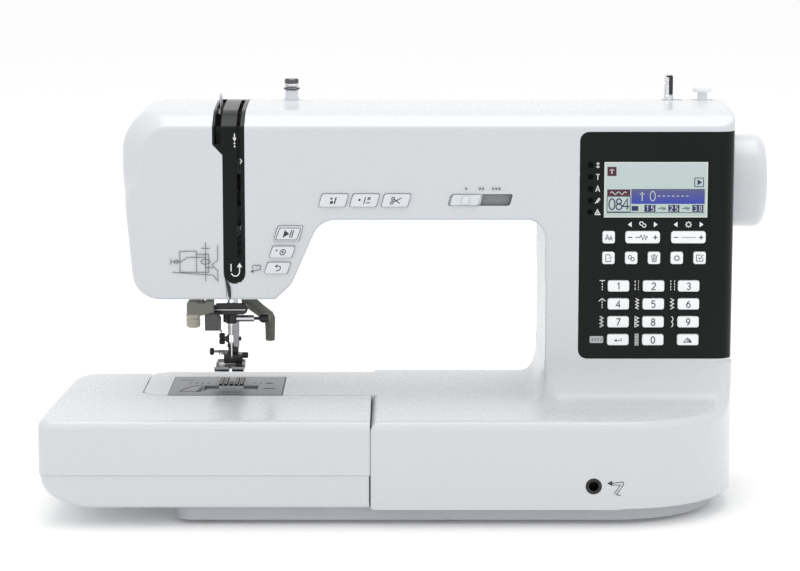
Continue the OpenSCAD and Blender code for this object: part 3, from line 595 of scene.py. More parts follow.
def surface(f, lo, hi, step, level=0.0):
    """Closed quad surface of f = level by surface nets, with each point moved onto the surface."""
    axes = [np.arange(a - 2 * step, b + 3 * step, step) for a, b in zip(lo, hi)]
    values = np.empty([len(a) for a in axes], np.float32)
    for i, x in enumerate(axes[0]):
        values[i] = f(x, axes[1][:, None], axes[2][None, :]) - level
    inside = values < 0
    corners = [inside[i:i + inside.shape[0] - 1, j:j + inside.shape[1] - 1, k:k + inside.shape[2] - 1]
               for i in (0, 1) for j in (0, 1) for k in (0, 1)]
    count = sum(c.astype(np.int8) for c in corners)
    cells = (count > 0) & (count < 8)
    where = np.argwhere(cells)
    index = np.full(cells.shape, -1, np.int64)
    index[cells] = np.arange(len(where))
    total, crossings = np.zeros((len(where), 3)), np.zeros(len(where))
    offsets = [(i, j, k) for i in (0, 1) for j in (0, 1) for k in (0, 1)]
    for a in offsets:
        for axis in range(3):
            if a[axis]:
                continue
            b = tuple(a[q] + (q == axis) for q in range(3))
            va = values[tuple((where + a).T)]
            vb = values[tuple((where + b).T)]
            hit = (va < 0) != (vb < 0)
            t = np.where(hit, va / np.where(hit, va - vb, 1), 0)
            p = np.tile(np.array(a, float), (len(where), 1))
            p[:, axis] += t
            total += p * hit[:, None]
            crossings += hit
    origin = np.array([a[0] for a in axes])
    points = origin + (where + total / crossings[:, None]) * step
    for _ in range(4):
        d = f(points[:, 0], points[:, 1], points[:, 2]) - level
        points -= gradient(f, points) * np.clip(d, -step, step)[:, None] * 0.9
    quads = []
    for axis in range(3):
        u, v = [q for q in range(3) if q != axis]
        a = np.swapaxes(inside, 0, axis)[:-1]
        b = np.swapaxes(inside, 0, axis)[1:]
        change = np.swapaxes(a != b, 0, axis)
        at = np.argwhere(change)
        at = at[(at[:, u] > 0) & (at[:, v] > 0)]
        eu, ev = np.eye(3, dtype=int)[u], np.eye(3, dtype=int)[v]
        q = np.stack([index[tuple((at - eu - ev).T)], index[tuple((at - ev).T)],
                      index[tuple(at.T)], index[tuple((at - eu).T)]], 1)
        quads.append(q)
    quads = np.concatenate(quads)
    out = gradient(f, points[quads].mean(1))
    facing = np.cross(points[quads[:, 2]] - points[quads[:, 0]], points[quads[:, 3]] - points[quads[:, 1]])
    wrong = (facing * out).sum(1) < 0
    quads[wrong] = quads[wrong][:, ::-1]
    return points, quads


def shell_mesh(f, lo, hi, step, wall):
    """Closed hollow shell: the outer skin of f and an inner skin one wall inside it."""
    outer, of = surface(f, lo, hi, step)
    inner, inf = surface(f, lo, hi, step * 1.6, -wall)
    return mesh_from("shell", np.vstack([outer, inner]), np.vstack([of, inf[:, ::-1] + len(outer)]))


def shade_from(mesh, f):
    """Shading normals from the true curved surface, with crisp cut edges."""
    smooth(mesh, 40)
    n = len(mesh.vertices)
    co = np.empty(n * 3)
    mesh.vertices.foreach_get("co", co)
    p = co.reshape(-1, 3) / MM
    g = gradient(f, p, 0.1)
    on_skin = np.abs(f(p[:, 0], p[:, 1], p[:, 2])) < 0.25
    loops = np.empty(len(mesh.loops), np.int64)
    mesh.loops.foreach_get("vertex_index", loops)
    normals = np.array([tuple(c.vector) for c in mesh.corner_normals])
    agree = on_skin[loops] & ((g[loops] * normals).sum(1) > 0.8)
    normals[agree] = g[loops][agree]
    mesh.normals_split_custom_set(normals.tolist())
    return mesh


# ---- covers ----
STEP = 1.5
WHOLE = shell_mesh(machine, (HEAD_LEFT, BED_FRONT, BASE_Z), (BODY_RIGHT, BACK_Y, RIDGE_Z), STEP, WALL)


def seen(points):
    """3-D points as (x, z) pairs."""
    return [(p[0], p[2]) for p in points]


def leaning(x, z, w, h, lean, r=1.2):
    """Outline of a slanted button, seen from the front."""
    return seen(rounded(x - w / 2, x + w / 2, z - h / 2, z + h / 2, r, lean=lean))


def guide_outline(grow):
    """Black strip of the thread path: narrow, rounded at its lower end, wider at the take-up slot."""
    r = 7.0
    x0, x1, z0 = GUIDE_X0 - grow, GUIDE_X1 + grow, GUIDE_Z - grow
    low = [(x0 + r * (1 - math.cos(t)), z0 + r * (1 - math.sin(t))) for t in np.linspace(0, math.pi / 2, 7)]
    right = [(x1 - r * (1 - math.sin(t)), z0 + r * (1 - math.cos(t))) for t in np.linspace(0, math.pi / 2, 7)]
    return low + right + [(x1, 275), (-128.6 - grow, 275), (-128.6 - grow, 243 - grow), (x0, 236 - grow)]


def panel_outline(grow):
    """Black panel; it runs past the column's right side, where the cover's own shape ends it."""
    return seen(rounded(113 - grow, 260, 100 - grow, 250.9 + grow, 6))


def below_head():
    """Opening under the head for the needle and presser bars."""
    return cutter("under", (-153, 24, HEAD_Z - 4), (-92, 72, HEAD_Z + WALL + 1))


LEFT_BOX = cutter("left", (-260, -60, HEAD_Z - 5), (FACE_X, SPLIT_Y - SEAM / 2, 290))
REAR_BOX = ((-260, SPLIT_Y + SEAM / 2, 0), (260, 120, 300))
SLOT_X, SLOT_Z = 47.4, middle("speed_slider")[1]  # middle of the speed slider's slot
# each slanted button with how far its top leans to the right
HEAD_BUTTONS = (("start_stop_button", 3.0), ("needle_button", 2.4), ("reverse_button", 2.4), ("slow_button",
                                                                                              2.4),
                ("tie_off_button", 2.4), ("cutter_button", 2.4))


def cap_size(node, lean=0.0):
    """Width and height of a key or button from its CAD flange, which is 1 mm larger all round."""
    lo, hi = span(node)
    return hi[0] - lo[0] - 2 - lean, hi[2] - lo[2] - 2


def cover(name, f, remove, keep, mat, node):
    """One moulded cover, cut out of the hollow machine."""
    mesh = shade_from(boolean(WHOLE.copy(), remove, keep), f)
    add_object(name, mesh, mat, "chassis", (node,))


def make_covers():
    strip_hole = prism_cutter(guide_outline(SEAM), -60, 56.2)
    cuts = [cutter("rear", *REAR_BOX),
            cutter("left", (-260, -60, HEAD_Z - 5), (FACE_X + SEAM, SPLIT_Y, 290)),
            strip_hole,
            prism_cutter(panel_outline(SEAM), -60, -13.8),
            below_head(),
            cutter("pocket", (10, 47, 239), (130, 72, 290)),
            cutter("spindle", (173, 41, 250), (187, 49, 290)),
            cutter("plate", (plate_lo[0] - 0.25, plate_lo[1] - 0.25, BED_Z - 1.5),
                   (plate_hi[0] + 0.25, plate_hi[1] + 0.25, 80)),
            cutter("hook", (-158, 2, 60), (-90, 60.5, 80)),
            cutter("inlet", (209, 44.8, 23.8), (225, 73.2, 48.2))]
    for y in TONGUES_Y:
        cuts.append(cutter("tongue", (-30, y - 6.2, 44.8), (-20, y + 6.2, 52.2)))
    for node, lean in HEAD_BUTTONS:
        w, h = cap_size(node, lean)
        cuts.append(prism_cutter(leaning(*middle(node), w + 2 * GAP, h + 2 * GAP, lean), -40, -24))
    cuts.append(prism_cutter(leaning(SLOT_X, SLOT_Z, 41.2, 7.9, 2.2, 1.6), -40, -24))
    cuts.append(Solid().lathe([(5.3, -100), (5.3, -70)], "y", (BUSH_X, 0, BUSH_Z)).mesh("bush_hole"))
    for x, r in ((TENSION_X, 5.9), (STOPPER_X, 7.5)):
        cuts.append(Solid().lathe([(r, 265.2), (r, 290)], "z", (x, TOP_Y, 0)).mesh("seat"))
    cuts.append(Solid().lathe([(12, 210), (12, 225)], "x", (0, NEEDLE_Y, HUB_Z)).mesh("hub"))
    cover("cover_front", machine, cuts, None, WHITE, "front_cover")
    cover("cover_rear", machine, [], cutter("rear", *REAR_BOX), WHITE, "rear_cover")
    cover("cover_face", machine, [strip_hole, below_head()], LEFT_BOX, WHITE, "face_cover")
    slots = [cutter("slot", (-127.4, -40, 243), (-123.1, 54, 290)),
             cutter("channel", (-113, -40, 163), (-110.4, 40, 290))]
    cover("thread_guide", machine, slots, prism_cutter(guide_outline(0), -60, 56), BLACK,
          "thread_guide_cover")


def make_panel():
    cuts = [cutter("window", (lcd_lo[0] - 0.2, -40, lcd_lo[2] - 0.2), (lcd_hi[0] + 0.2, -20,
                                                                       lcd_hi[2] + 0.2))]
    for node in KEYS:
        w, h = cap_size(node)
        cuts.append(prism_cutter(leaning(*middle(node), w + 2 * GAP, h + 2 * GAP, 0, 1.7), -40, -20))
    for node in ROCKERS:
        cuts.append(prism_cutter(leaning(*middle(node), 23.8, 8.8, 0, 1.8), -40, -20))
    cover("panel_cover", machine, cuts, prism_cutter(panel_outline(0), -60, -14), BLACK, "control_panel")


NUMBERS = ("key_1", "key_2", "key_3", "key_4", "key_5", "key_6", "key_7", "key_8", "key_9", "key_0")
SQUARES = ("key_font", "key_edit", "key_link", "key_delete", "key_setting", "key_confirm")
KEYS = NUMBERS + ("key_return", "key_mirror") + SQUARES
ROCKERS = ("rocker_width", "rocker_length")

make_covers()
make_panel()


# ---- icons, one unit high round their centre: (lines, filled areas) ----
DIGITS = {
    "1": ([[(-0.16, 0.3), (0.06, 0.5), (0.06, -0.5)]], []),
    "2": ([arc(0, 0.22, 0.26, 0.28, 165, -45) + [(-0.27, -0.5), (0.29, -0.5)]], []),
    "3": ([arc(-0.03, 0.25, 0.24, 0.25, 150, -90), arc(-0.03, -0.25, 0.28, 0.25, 90, -150)], []),
    "4": ([[(0.12, -0.5), (0.12, 0.5), (-0.3, -0.2), (0.3, -0.2)]], []),
    "5": ([[(0.24, 0.5), (-0.2, 0.5), (-0.24, 0.06)] + arc(-0.02, -0.18, 0.27, 0.32, 120, -140)], []),
    "6": ([arc(0, -0.2, 0.27, 0.3, 0, 360, 15), [(0.16, 0.5), (-0.12, 0.25), (-0.27, -0.15)]], []),
    "7": ([[(-0.28, 0.5), (0.28, 0.5), (-0.1, -0.5)]], []),
    "8": ([arc(0, 0.26, 0.22, 0.24, 0, 360, 15), arc(0, -0.24, 0.27, 0.26, 0, 360, 15)], []),
    "9": ([arc(0, 0.2, 0.27, 0.3, 0, 360, 15), [(0.27, 0.15), (0.12, -0.25), (-0.16, -0.5)]], []),
    "0": ([arc(0, 0, 0.27, 0.5, 0, 360, 17)], []),
}
RING = arc(0, 0, 0.3, 0.3, 0, 360, 15)
TEETH = [[(0.3 * math.cos(a), 0.3 * math.sin(a)), (0.48 * math.cos(a), 0.48 * math.sin(a))]
         for a in np.linspace(0, 2 * math.pi, 8, endpoint=False)]
U_TURN = ([[(-0.1, -0.4), (0.1, -0.4)] + arc(0.1, -0.02, 0.38, 0.38, -70, 90, 7) + [(-0.2, 0.36)]],
          [[(-0.15, 0.62), (-0.15, 0.1), (-0.55, 0.36)]])
ICONS = {
    "key_font": ([[(-0.5, -0.4), (-0.22, 0.4), (0.06, -0.4)], [(-0.4, -0.12), (-0.04, -0.12)],
                  [(0.12, -0.4), (0.31, 0.2), (0.5, -0.4)], [(0.19, -0.18), (0.43, -0.18)]], []),
    "key_edit": ([[(0.12, 0.5), (-0.4, 0.5), (-0.4, -0.5), (0.3, -0.5), (0.3, -0.2)],
                  [(0.5, 0.1), (0.0, 0.0)], [(0.12, 0.5), (0.3, 0.25)]], []),
    "key_link": ([arc(-0.2, 0.15, 0.25, 0.25, 0, 360, 13), arc(0.2, -0.15, 0.25, 0.25, 0, 360, 13)], []),
    "key_delete": ([[(-0.33, 0.3), (-0.27, -0.5), (0.27, -0.5), (0.33, 0.3)], [(-0.48, 0.32), (0.48, 0.32)],
                    [(-0.15, 0.5), (0.15, 0.5)], [(-0.1, 0.15), (-0.1, -0.35)],
                    [(0.1, 0.15), (0.1, -0.35)]], []),
    "key_setting": ([RING] + TEETH, []),
    "key_confirm": ([[(0.45, 0.05), (0.45, -0.45), (-0.45, -0.45), (-0.45, 0.45), (0.15, 0.45)],
                     [(-0.2, 0.1), (0.0, -0.15), (0.5, 0.5)]], []),
    "key_return": ([[(0.6, 0.35), (0.6, -0.1), (-0.3, -0.1)]], [[(-0.25, 0.2), (-0.25, -0.4), (-0.7, -0.1)]]),
    "key_mirror": ([[(-0.1, 0.4), (-0.1, -0.45), (-0.75, -0.45), (-0.1, 0.4)]],
                   [[(0.1, 0.45), (0.1, -0.5), (0.8, -0.5)]]),
    "start_stop_button": ([], [[(-0.6, 0.5), (-0.6, -0.5), (0.15, 0)],
                               [(0.25, 0.5), (0.25, -0.5), (0.38, -0.5), (0.38, 0.5)],
                               [(0.52, 0.5), (0.52, -0.5), (0.65, -0.5), (0.65, 0.5)]]),
    "needle_button": ([arc(0.1, 0, 0.42, 0.42, 0, 360, 17)],
                      [arc(0.1, 0, 0.16, 0.16, 0, 315, 8), arc(-0.95, 0.3, 0.14, 0.14, 0, 315, 8)]),
    "reverse_button": U_TURN,
    "slow_button": ([[(0.25, 0.5), (0.25, -0.5)]], [arc(-0.35, 0.3, 0.16, 0.16, 0, 315, 8),
                                                  arc(-0.2, -0.25, 0.24, 0.22, 0, 315, 8),
                                                  [(0.12, -0.1), (0.38, -0.1), (0.25, -0.5)],
                                                  [(0.12, 0.15), (0.38, 0.15), (0.25, 0.5)]]),
    "tie_off_button": ([[(0, 0.5), (0, -0.5)], [(0.35, 0.5), (0.75, 0.1)], [(0.35, 0.1), (0.75, 0.5)],
                        [(0.3, -0.3), (0.8, -0.3)]], [arc(-0.75, 0.1, 0.16, 0.16, 0, 315, 8)]),
    "cutter_button": ([arc(-0.5, 0.28, 0.2, 0.2, 0, 360, 11), arc(-0.5, -0.28, 0.2, 0.2, 0, 360, 11),
                       [(-0.32, 0.2), (0.65, -0.4)], [(-0.32, -0.2), (0.65, 0.4)]], []),
}
MINUS = ([[(-0.35, 0), (0.35, 0)]], [])
PLUS = ([[(-0.35, 0), (0.35, 0)], [(0, -0.35), (0, 0.35)]], [])
WAVE = ([[(-0.9, 0), (-0.35, 0), (-0.2, 0.3), (0, -0.3), (0.2, 0.3), (0.35, -0.3), (0.5, 0.15), (0.6, 0)]],
        [])
DASHES = ([[(-0.8 + 0.3 * i, 0), (-0.62 + 0.3 * i, 0)] for i in range(6)], [])
ARROW_LEFT = ([], [[(0.3, 0.5), (0.3, -0.5), (-0.4, 0)]])
ARROW_RIGHT = ([], [[(-0.3, -0.5), (-0.3, 0.5), (0.4, 0)]])


def zigzag(turns, width, lean=0.0):
    return [(width * (1 if i % 2 else -1) + lean * (i % 2), 0.5 - i / turns) for i in range(turns + 1)]


def dashes(u, count, length=0.6):
    return [[(u, 0.5 - i / count), (u, 0.5 - (i + length) / count)] for i in range(count)]


STITCHES = (dashes(0, 4) + [[(-0.25, 0.5), (0.25, 0.5)]], dashes(-0.2, 3) + dashes(0.1, 5, 0.4),
            dashes(-0.15, 4) + dashes(0.2, 4), dashes(0, 4) + [[(-0.3, 0.25), (0, 0.5), (0.3, 0.25)]],
            [zigzag(7, 0.14)], [zigzag(6, 0.16)], [zigzag(6, 0.13), [(u - 0.07, v) for u, v in zigzag(6,
                                                                                                      0.13)]],
            [zigzag(6, 0.16), [(-0.18, 0.5), (-0.18, -0.5)]], [arc(-0.05, 0.25, 0.16, 0.23, 90, -90, 6),
                                                               arc(-0.05, -0.25, 0.16, 0.23, 90, -90, 6)])


# ---- keys, rockers, buttons and slider ----
TO_FRONT = (0, -1, 0)


def cap_outline(x, z, w, h, r, lean=0.0):
    """Outline of a cap as a function of how far it is moved inwards."""
    def outline(inset):
        return rounded(x - w / 2 + inset, x + w / 2 - inset, z - h / 2 + inset, z + h / 2 - inset,
                       max(r - inset, 0.3), "xz", 0.0, 5, lean)
    return outline


def pressed_cap(node, mat, slot, corner, edge, lean=0.0):
    """Key or button with the flange that holds it under the cover; returns its middle and size."""
    lo, hi = span(node)
    x, z = middle(node)
    w, h = cap_size(node, lean)
    cap = Solid().prism(cap_outline(x, z, w, h, corner, lean), (-hi[1] + 1, -lo[1], TO_FRONT), edge)
    cap.prism(cap_outline(x, z, w + 1.8, h + 1.8, 1.6, lean), (-hi[1], -hi[1] + 1.5, TO_FRONT), 0.1)
    cap.add("cap_" + node, mat, node, (node,), slot)
    return x, z, w, h, lo[1]


def make_keys():
    for node in KEYS:
        x, z, _, _, face = pressed_cap(node, KEYCAP, "key_plastic", 1.4, 0.45)
        ink = Solid()
        if node in NUMBERS:
            draw(ink, DIGITS[node[-1]], x, z, 4.5, 0.62, face)
        else:
            draw(ink, ICONS[node], x, z, 4.6 if node in SQUARES else 3.6, 0.42, face)
        ink.add("mark_" + node, PRINT_DARK, node)


def make_rockers():
    for node in ROCKERS:
        lo, hi = span(node)
        x, z = middle(node)
        cap = Solid().prism(cap_outline(x, z, hi[0] - lo[0], 8, 1.8), (-lo[1] - 4.6, -lo[1], TO_FRONT), 0.5)
        cap.lathe([(1.3, lo[2]), (1.3, hi[2])], "z", (x, hi[1] - 1.3, 0), 20)
        cap.add("cap_" + node, KEYCAP, node, (node,), "key_plastic")
        ink = Solid()
        draw(ink, MINUS, x - 8.3, z, 4.0, 0.6, lo[1])
        draw(ink, PLUS, x + 8.3, z, 4.0, 0.6, lo[1])
        draw(ink, WAVE if node == "rocker_width" else DASHES, x, z, 5.4, 0.45, lo[1])
        ink.add("mark_" + node, PRINT_DARK, node)


def make_head_buttons():
    for node, lean in HEAD_BUTTONS:
        x, z, w, h, face = pressed_cap(node, BUTTON, "button_plastic", 1.3, 0.5, lean)
        ink = Solid()
        size = h * (0.5 if node == "start_stop_button" else 0.56)
        draw(ink, ICONS[node], x, z, size, 0.55, face, lean / h)
        if node == "start_stop_button":
            edge = leaning(x, z, w - 2.2, h - 2.0, lean, 0.8)
            ribbon(ink, edge + edge[:1], 0.4, face)
        ink.add("mark_" + node, PRINT_DARK, node)


def make_slider():
    lo, hi = span("speed_slider")
    x, z = middle("speed_slider")
    slide = Solid().prism(cap_outline(x, z, 18.5, 7.1, 1.2, 2.1), (23.6, -FRONT_Y + 1, TO_FRONT), 0.5)
    slide.prism(cap_outline(x, z, 4.6, 5.4, 1.4, 1.4), (27, -lo[1], TO_FRONT), 1.2, 4)
    slide.prism(cap_outline(x, z, 21.6, 11, 1.2, 2.4), (-hi[1], -hi[1] + 1.6, TO_FRONT), 0.2)
    track = Solid().prism(cap_outline(SLOT_X, SLOT_Z, 50, 12, 1.5, 2.6), (22.6, 23.1, TO_FRONT), 0.1)
    track.add("slider_track", TRACK)
    slide.add("slider_cap", CLEAR, "speed_slider", ("speed_slider",), "clear_plastic")


make_keys()
make_rockers()
make_head_buttons()
make_slider()


# ---- printed marks on the covers and the display ----
def screen_material(name, low, high, z0, z1):
    """Liquid crystal glass that changes colour slightly with height."""
    m = material(name, low, 0.28, grain=0.02)
    nt = m.node_tree
    b = nt.nodes["Principled BSDF"]
    where = nt.nodes.new("ShaderNodeTexCoord")
    split = nt.nodes.new("ShaderNodeSeparateXYZ")
    nt.links.new(where.outputs["Object"], split.inputs["Vector"])
    spread = nt.nodes.new("ShaderNodeMapRange")
    spread.inputs["From Min"].default_value = z0 * MM
    spread.inputs["From Max"].default_value = z1 * MM
    nt.links.new(split.outputs["Z"], spread.inputs["Value"])
    mix = nt.nodes.new("ShaderNodeMix")
    mix.data_type = "RGBA"
    mix.inputs["A"].default_value = (*low, 1)
    mix.inputs["B"].default_value = (*high, 1)
    nt.links.new(spread.outputs["Result"], mix.inputs["Factor"])
    nt.links.new(mix.outputs["Result"], b.inputs["Base Color"])
    return m


def rectangle(x0, x1, z0, z1):
    return [(x0, z0), (x1, z0), (x1, z1), (x0, z1)]


def frame_lines(x0, x1, z0, z1):
    return rectangle(x0, x1, z0, z1) + [(x0, z0)]


def make_display():
    low, high = span("display")
    x0, x1, z0, z1, y = low[0], high[0], low[2], high[2], low[1]
    finish_nodes(screen_material("lcd_glass", (0.43, 0.53, 0.49), (0.47, 0.54, 0.55), z0, z1), "display")
    border = material("lcd_border", (0.62, 0.66, 0.6), 0.3, grain=0.05)
    blue = screen_material("lcd_blue", (0.022, 0.045, 0.36), (0.09, 0.09, 0.2), z0 + 9, z0 + 19)
    dark = material("lcd_dark", (0.012, 0.02, 0.09), 0.35, grain=0.05)
    maroon = material("lcd_maroon", (0.065, 0.006, 0.022), 0.35, grain=0.05)
    pale = material("lcd_pale", (0.56, 0.6, 0.6), 0.35, grain=0.05)
    g = Solid()
    w, h = x1 - x0, z1 - z0

    def area(u0, u1, v0, v1):
        patch(g, rectangle(x0 + u0, x0 + u1, z0 + v0, z0 + v1), y, thick=FILM)

    def line(width, *points):
        ribbon(g, [(x0 + u, z0 + v) for u, v in points], width, y)

    def box(width, u0, u1, v0, v1):
        line(width, *frame_lines(u0, u1, v0, v1))

    g.use(0)
    area(0, w, h - 0.9, h)
    area(0, w, 0, 0.8)
    area(0, 0.9, 0.8, h - 0.9)
    area(w - 0.9, w, 0.8, h - 0.9)
    g.use(1)
    area(17.9, w - 1.9, 9.0, 18.9)
    g.use(2)
    for u in (26.6, 42.4, 58.2):
        area(u, u + 7.3, 3.7, 8.3)
    area(18.2, 22.6, 4.4, 7.6)
    line(0.35, (2, 3.2), (w - 2, 3.2))
    box(0.45, w - 8.6, w - 2.9, 20.4, 26.2)
    patch(g, [(x0 + w - u, z0 + v) for u, v in ((6.8, 21.4), (6.8, 25.2), (3.8, 23.3))], y)
    box(0.4, 2, 17.2, 3.7, 14)
    for u, v in ((5.2, "0"), (9.8, "8"), (14.4, "4")):
        draw(g, DIGITS[v], x0 + u, z0 + 8.8, 7.2, 0.75, y)
    for u in (38.7, 54.5):
        draw(g, WAVE, x0 + u, z0 + 6, 3.2, 0.4, y)
    g.use(3)
    area(2, 7.9, 27.5, 33.5)
    area(2, 17.2, 14.3, 18.6)
    g.use(4)
    line(0.5, *((4 + 0.9 * i, 16.2 + 0.9 * math.sin(i * 1.3)) for i in range(13)))
    line(0.8, (4.9, 29), (4.9, 32.2))
    line(0.6, (3.6, 31.4), (6.3, 31.4))
    for i in range(7):
        line(0.45, (35.2 + 3.1 * i, 14.2), (37 + 3.1 * i, 14.2))
    line(0.5, *arc(32, 14.2, 1.7, 3.2, 0, 360, 15))
    line(0.6, (25, 11), (25, 17))
    line(0.5, (23.4, 15.6), (26.6, 15.6))
    for u, digits in ((28.6, "15"), (44.4, "25"), (60.2, "38")):
        for k, v in enumerate(digits):
            draw(g, DIGITS[v], x0 + u + 3.4 * k, z0 + 6, 3.2, 0.45, y - FILM)
    g.add("display_marks", [border, blue, dark, maroon, pale])


LAMP_ICONS = (
    ([[(0, 0.5), (0, -0.5)], [(-0.3, 0.3), (0.3, 0.3)], [(-0.3, -0.3), (0.3, -0.3)]], []),
    ([[(-0.3, 0.45), (0.3, 0.45)], [(0, 0.45), (0, -0.5)]], []),
    ([[(-0.35, -0.5), (0, 0.5), (0.35, -0.5)], [(-0.2, -0.15), (0.2, -0.15)]], []),
    ([[(-0.4, -0.5), (0.2, 0.4), (0.4, 0.2), (-0.1, -0.4)]], []),
    ([[(-0.45, -0.4), (0, 0.45), (0.45, -0.4), (-0.45, -0.4)]], [arc(0, -0.1, 0.14, 0.14, 0, 315, 8)]),
)
BESIDE = -10.7  # from the middle of a number key to the middle of its mark


def make_panel_marks():
    y = FRONT_Y
    white, dots, grey = Solid(), Solid(), Solid()
    lamps_x, lamps_top, lamps_pitch, label_y = 119.9, 229.2, 7.8, 189.9
    for i, icon in enumerate(LAMP_ICONS):
        z = lamps_top - lamps_pitch * i
        dots.lathe([(0, y + 0.05), (1.75, y + 0.05), (1.75, y - 0.1), (1.4, y - 0.25), (0, y - 0.35)], "y",
                   (lamps_x, 0, z), 20)
        draw(white, icon, lamps_x + 4.7, z, 3.8, 0.55, y)
    for node, icon in zip(ROCKERS, (ICONS["key_link"], ICONS["key_setting"])):
        x = middle(node)[0]
        draw(white, ARROW_LEFT, x - 8.4, label_y, 3.6, 0.4, y)
        draw(white, icon, x, label_y, 4.6, 0.6, y)
        draw(white, ARROW_RIGHT, x + 8.4, label_y, 3.6, 0.4, y)
    for stitch, node in zip(STITCHES, NUMBERS):
        x, z = middle(node)
        draw(white, (stitch, []), x + BESIDE, z, 7.2, 0.5, y)
    z = middle("key_return")[1]
    patch(grey, seen(rounded(120.4, 129.4, z - 2.3, z + 2.3, 0.8)), y)
    x = middle("key_0")[0] + BESIDE
    patch(grey, rectangle(x - 1.3, x + 1.3, z - 4, z + 4), y)
    ink = Solid()
    for i in range(4):
        ribbon(ink, [(121.8 + 1.9 * i, z - 1), (123 + 1.9 * i, z + 1)], 0.4, y - 0.1)
    for i in range(4):
        ribbon(ink, [(x - 0.9, z - 3 + 2 * i), (x + 0.9, z - 3 + 2 * i)], 0.4, y - 0.1)
    white.add("panel_marks", PRINT_WHITE)
    dots.add("panel_lamps", LAMP)
    grey.add("panel_labels", PRINT_LIGHT)
    ink.add("label_marks", PRINT_DARK)


def make_head_marks():
    y = FRONT_Y
    ink = Solid()
    # speed marks over the slider: one, two and three arrowheads
    for x, count in ((38.2, 1), (48.3, 2), (58.0, 3)):
        for i in range(count):
            draw(ink, ARROW_RIGHT, x + (i - (count - 1) / 2) * 2.1, 213.6, 2.1, 0.3, y)
    # thin threading sketch left of the thread path
    for line in ([(-157, 165), (-150, 165), (-146, 168), (-134, 168), (-134, 161), (-129, 161)],
                 [(-157, 163), (-157, 167)],
                 [(-151, 158), (-151, 172), (-140, 172), (-140, 158), (-151, 158)],
                 [(-134, 178), (-134, 152)], [(-137, 174), (-131, 174)],
                 [(-156, 158), (-129, 156), (-126, 152)],
                 [(-126, 176), (-126, 166), (-130, 163), (-126, 159), (-126, 152)],
                 [(-140, 170), (-132, 170), (-132, 158), (-140, 158)]):
        ribbon(ink, line, 0.38, y)
    ribbon(ink, arc(-134, 165, 3.2, 1.6, 0, 360, 15), 0.35, y)
    ribbon(ink, arc(-153.5, 165, 1.3, 1.3, 0, 360, 13), 0.35, y)
    # thread direction hooks right of the thread path
    ribbon(ink, arc(-101.6, 161.2, 1.6, 1.6, 200, 20, 7), 0.4, y)
    ribbon(ink, [(-100.1, 162.6), (-97.8, 162.6), (-97.8, 159.8), (-103.2, 158.6)], 0.4, y)
    patch(ink, [(-104.4, 158.5), (-102.6, 159.8), (-102.6, 157.4)], y)
    ink.add("head_marks", PRINT_GREY)
    white = Solid()
    ribbon(white, [(-114.1, 250), (-114.1, 247)], 0.7, y)
    patch(white, [(-115.4, 247.4), (-112.8, 247.4), (-114.1, 244.8)], y)
    for z in (243.6, 241.6):
        patch(white, arc(-114.1, z, 0.6, 0.6, 0, 315, 8), y)
    ribbon(white, [(-110.6, 233.4), (-109.4, 231.8), (-110.6, 230.2)], 0.5, y)
    ribbon(white, [(-117.2, 163.6), (-117.2, 158.6)] + arc(-114.4, 158.6, 2.8, 3.2, 180, 360, 9)
           + [(-111.6, 161.8)], 0.7, y)
    patch(white, [(-113.3, 161.4), (-109.9, 161.4), (-111.6, 164.4)], y)
    white.add("guide_marks", PRINT_WHITE)
    # painted shade: a thin dark sheet on the face stands in for the shaded inside of a curved slit
    slit = Solid()
    patch(slit, [(-121.9, 156), (-118.9, 151), (-117.7, 148), (-117.4, 143), (-117.6, 140.4), (-118.3, 139.7),
                 (-119.2, 142), (-120.4, 149)], y, thick=0.15)
    slit.add("guide_slit_painted_shade", CHANNEL)
    # knee lift sketch on the front of the bed
    knee = Solid()
    patch(knee, [(128.4, 29.6), (131.6, 31.4), (131.6, 27.8)], BED_FRONT)
    ribbon(knee, [(131.4, 29.6), (138.6, 30.6), (138.9, 28.6), (134.4, 22.2), (137.2, 21.6)], 0.45, BED_FRONT)
    ribbon(knee, [(131.4, 28.6), (136.9, 28.4), (132.8, 22.6)], 0.4, BED_FRONT)
    knee.add("knee_lift_mark", PRINT_DARK)


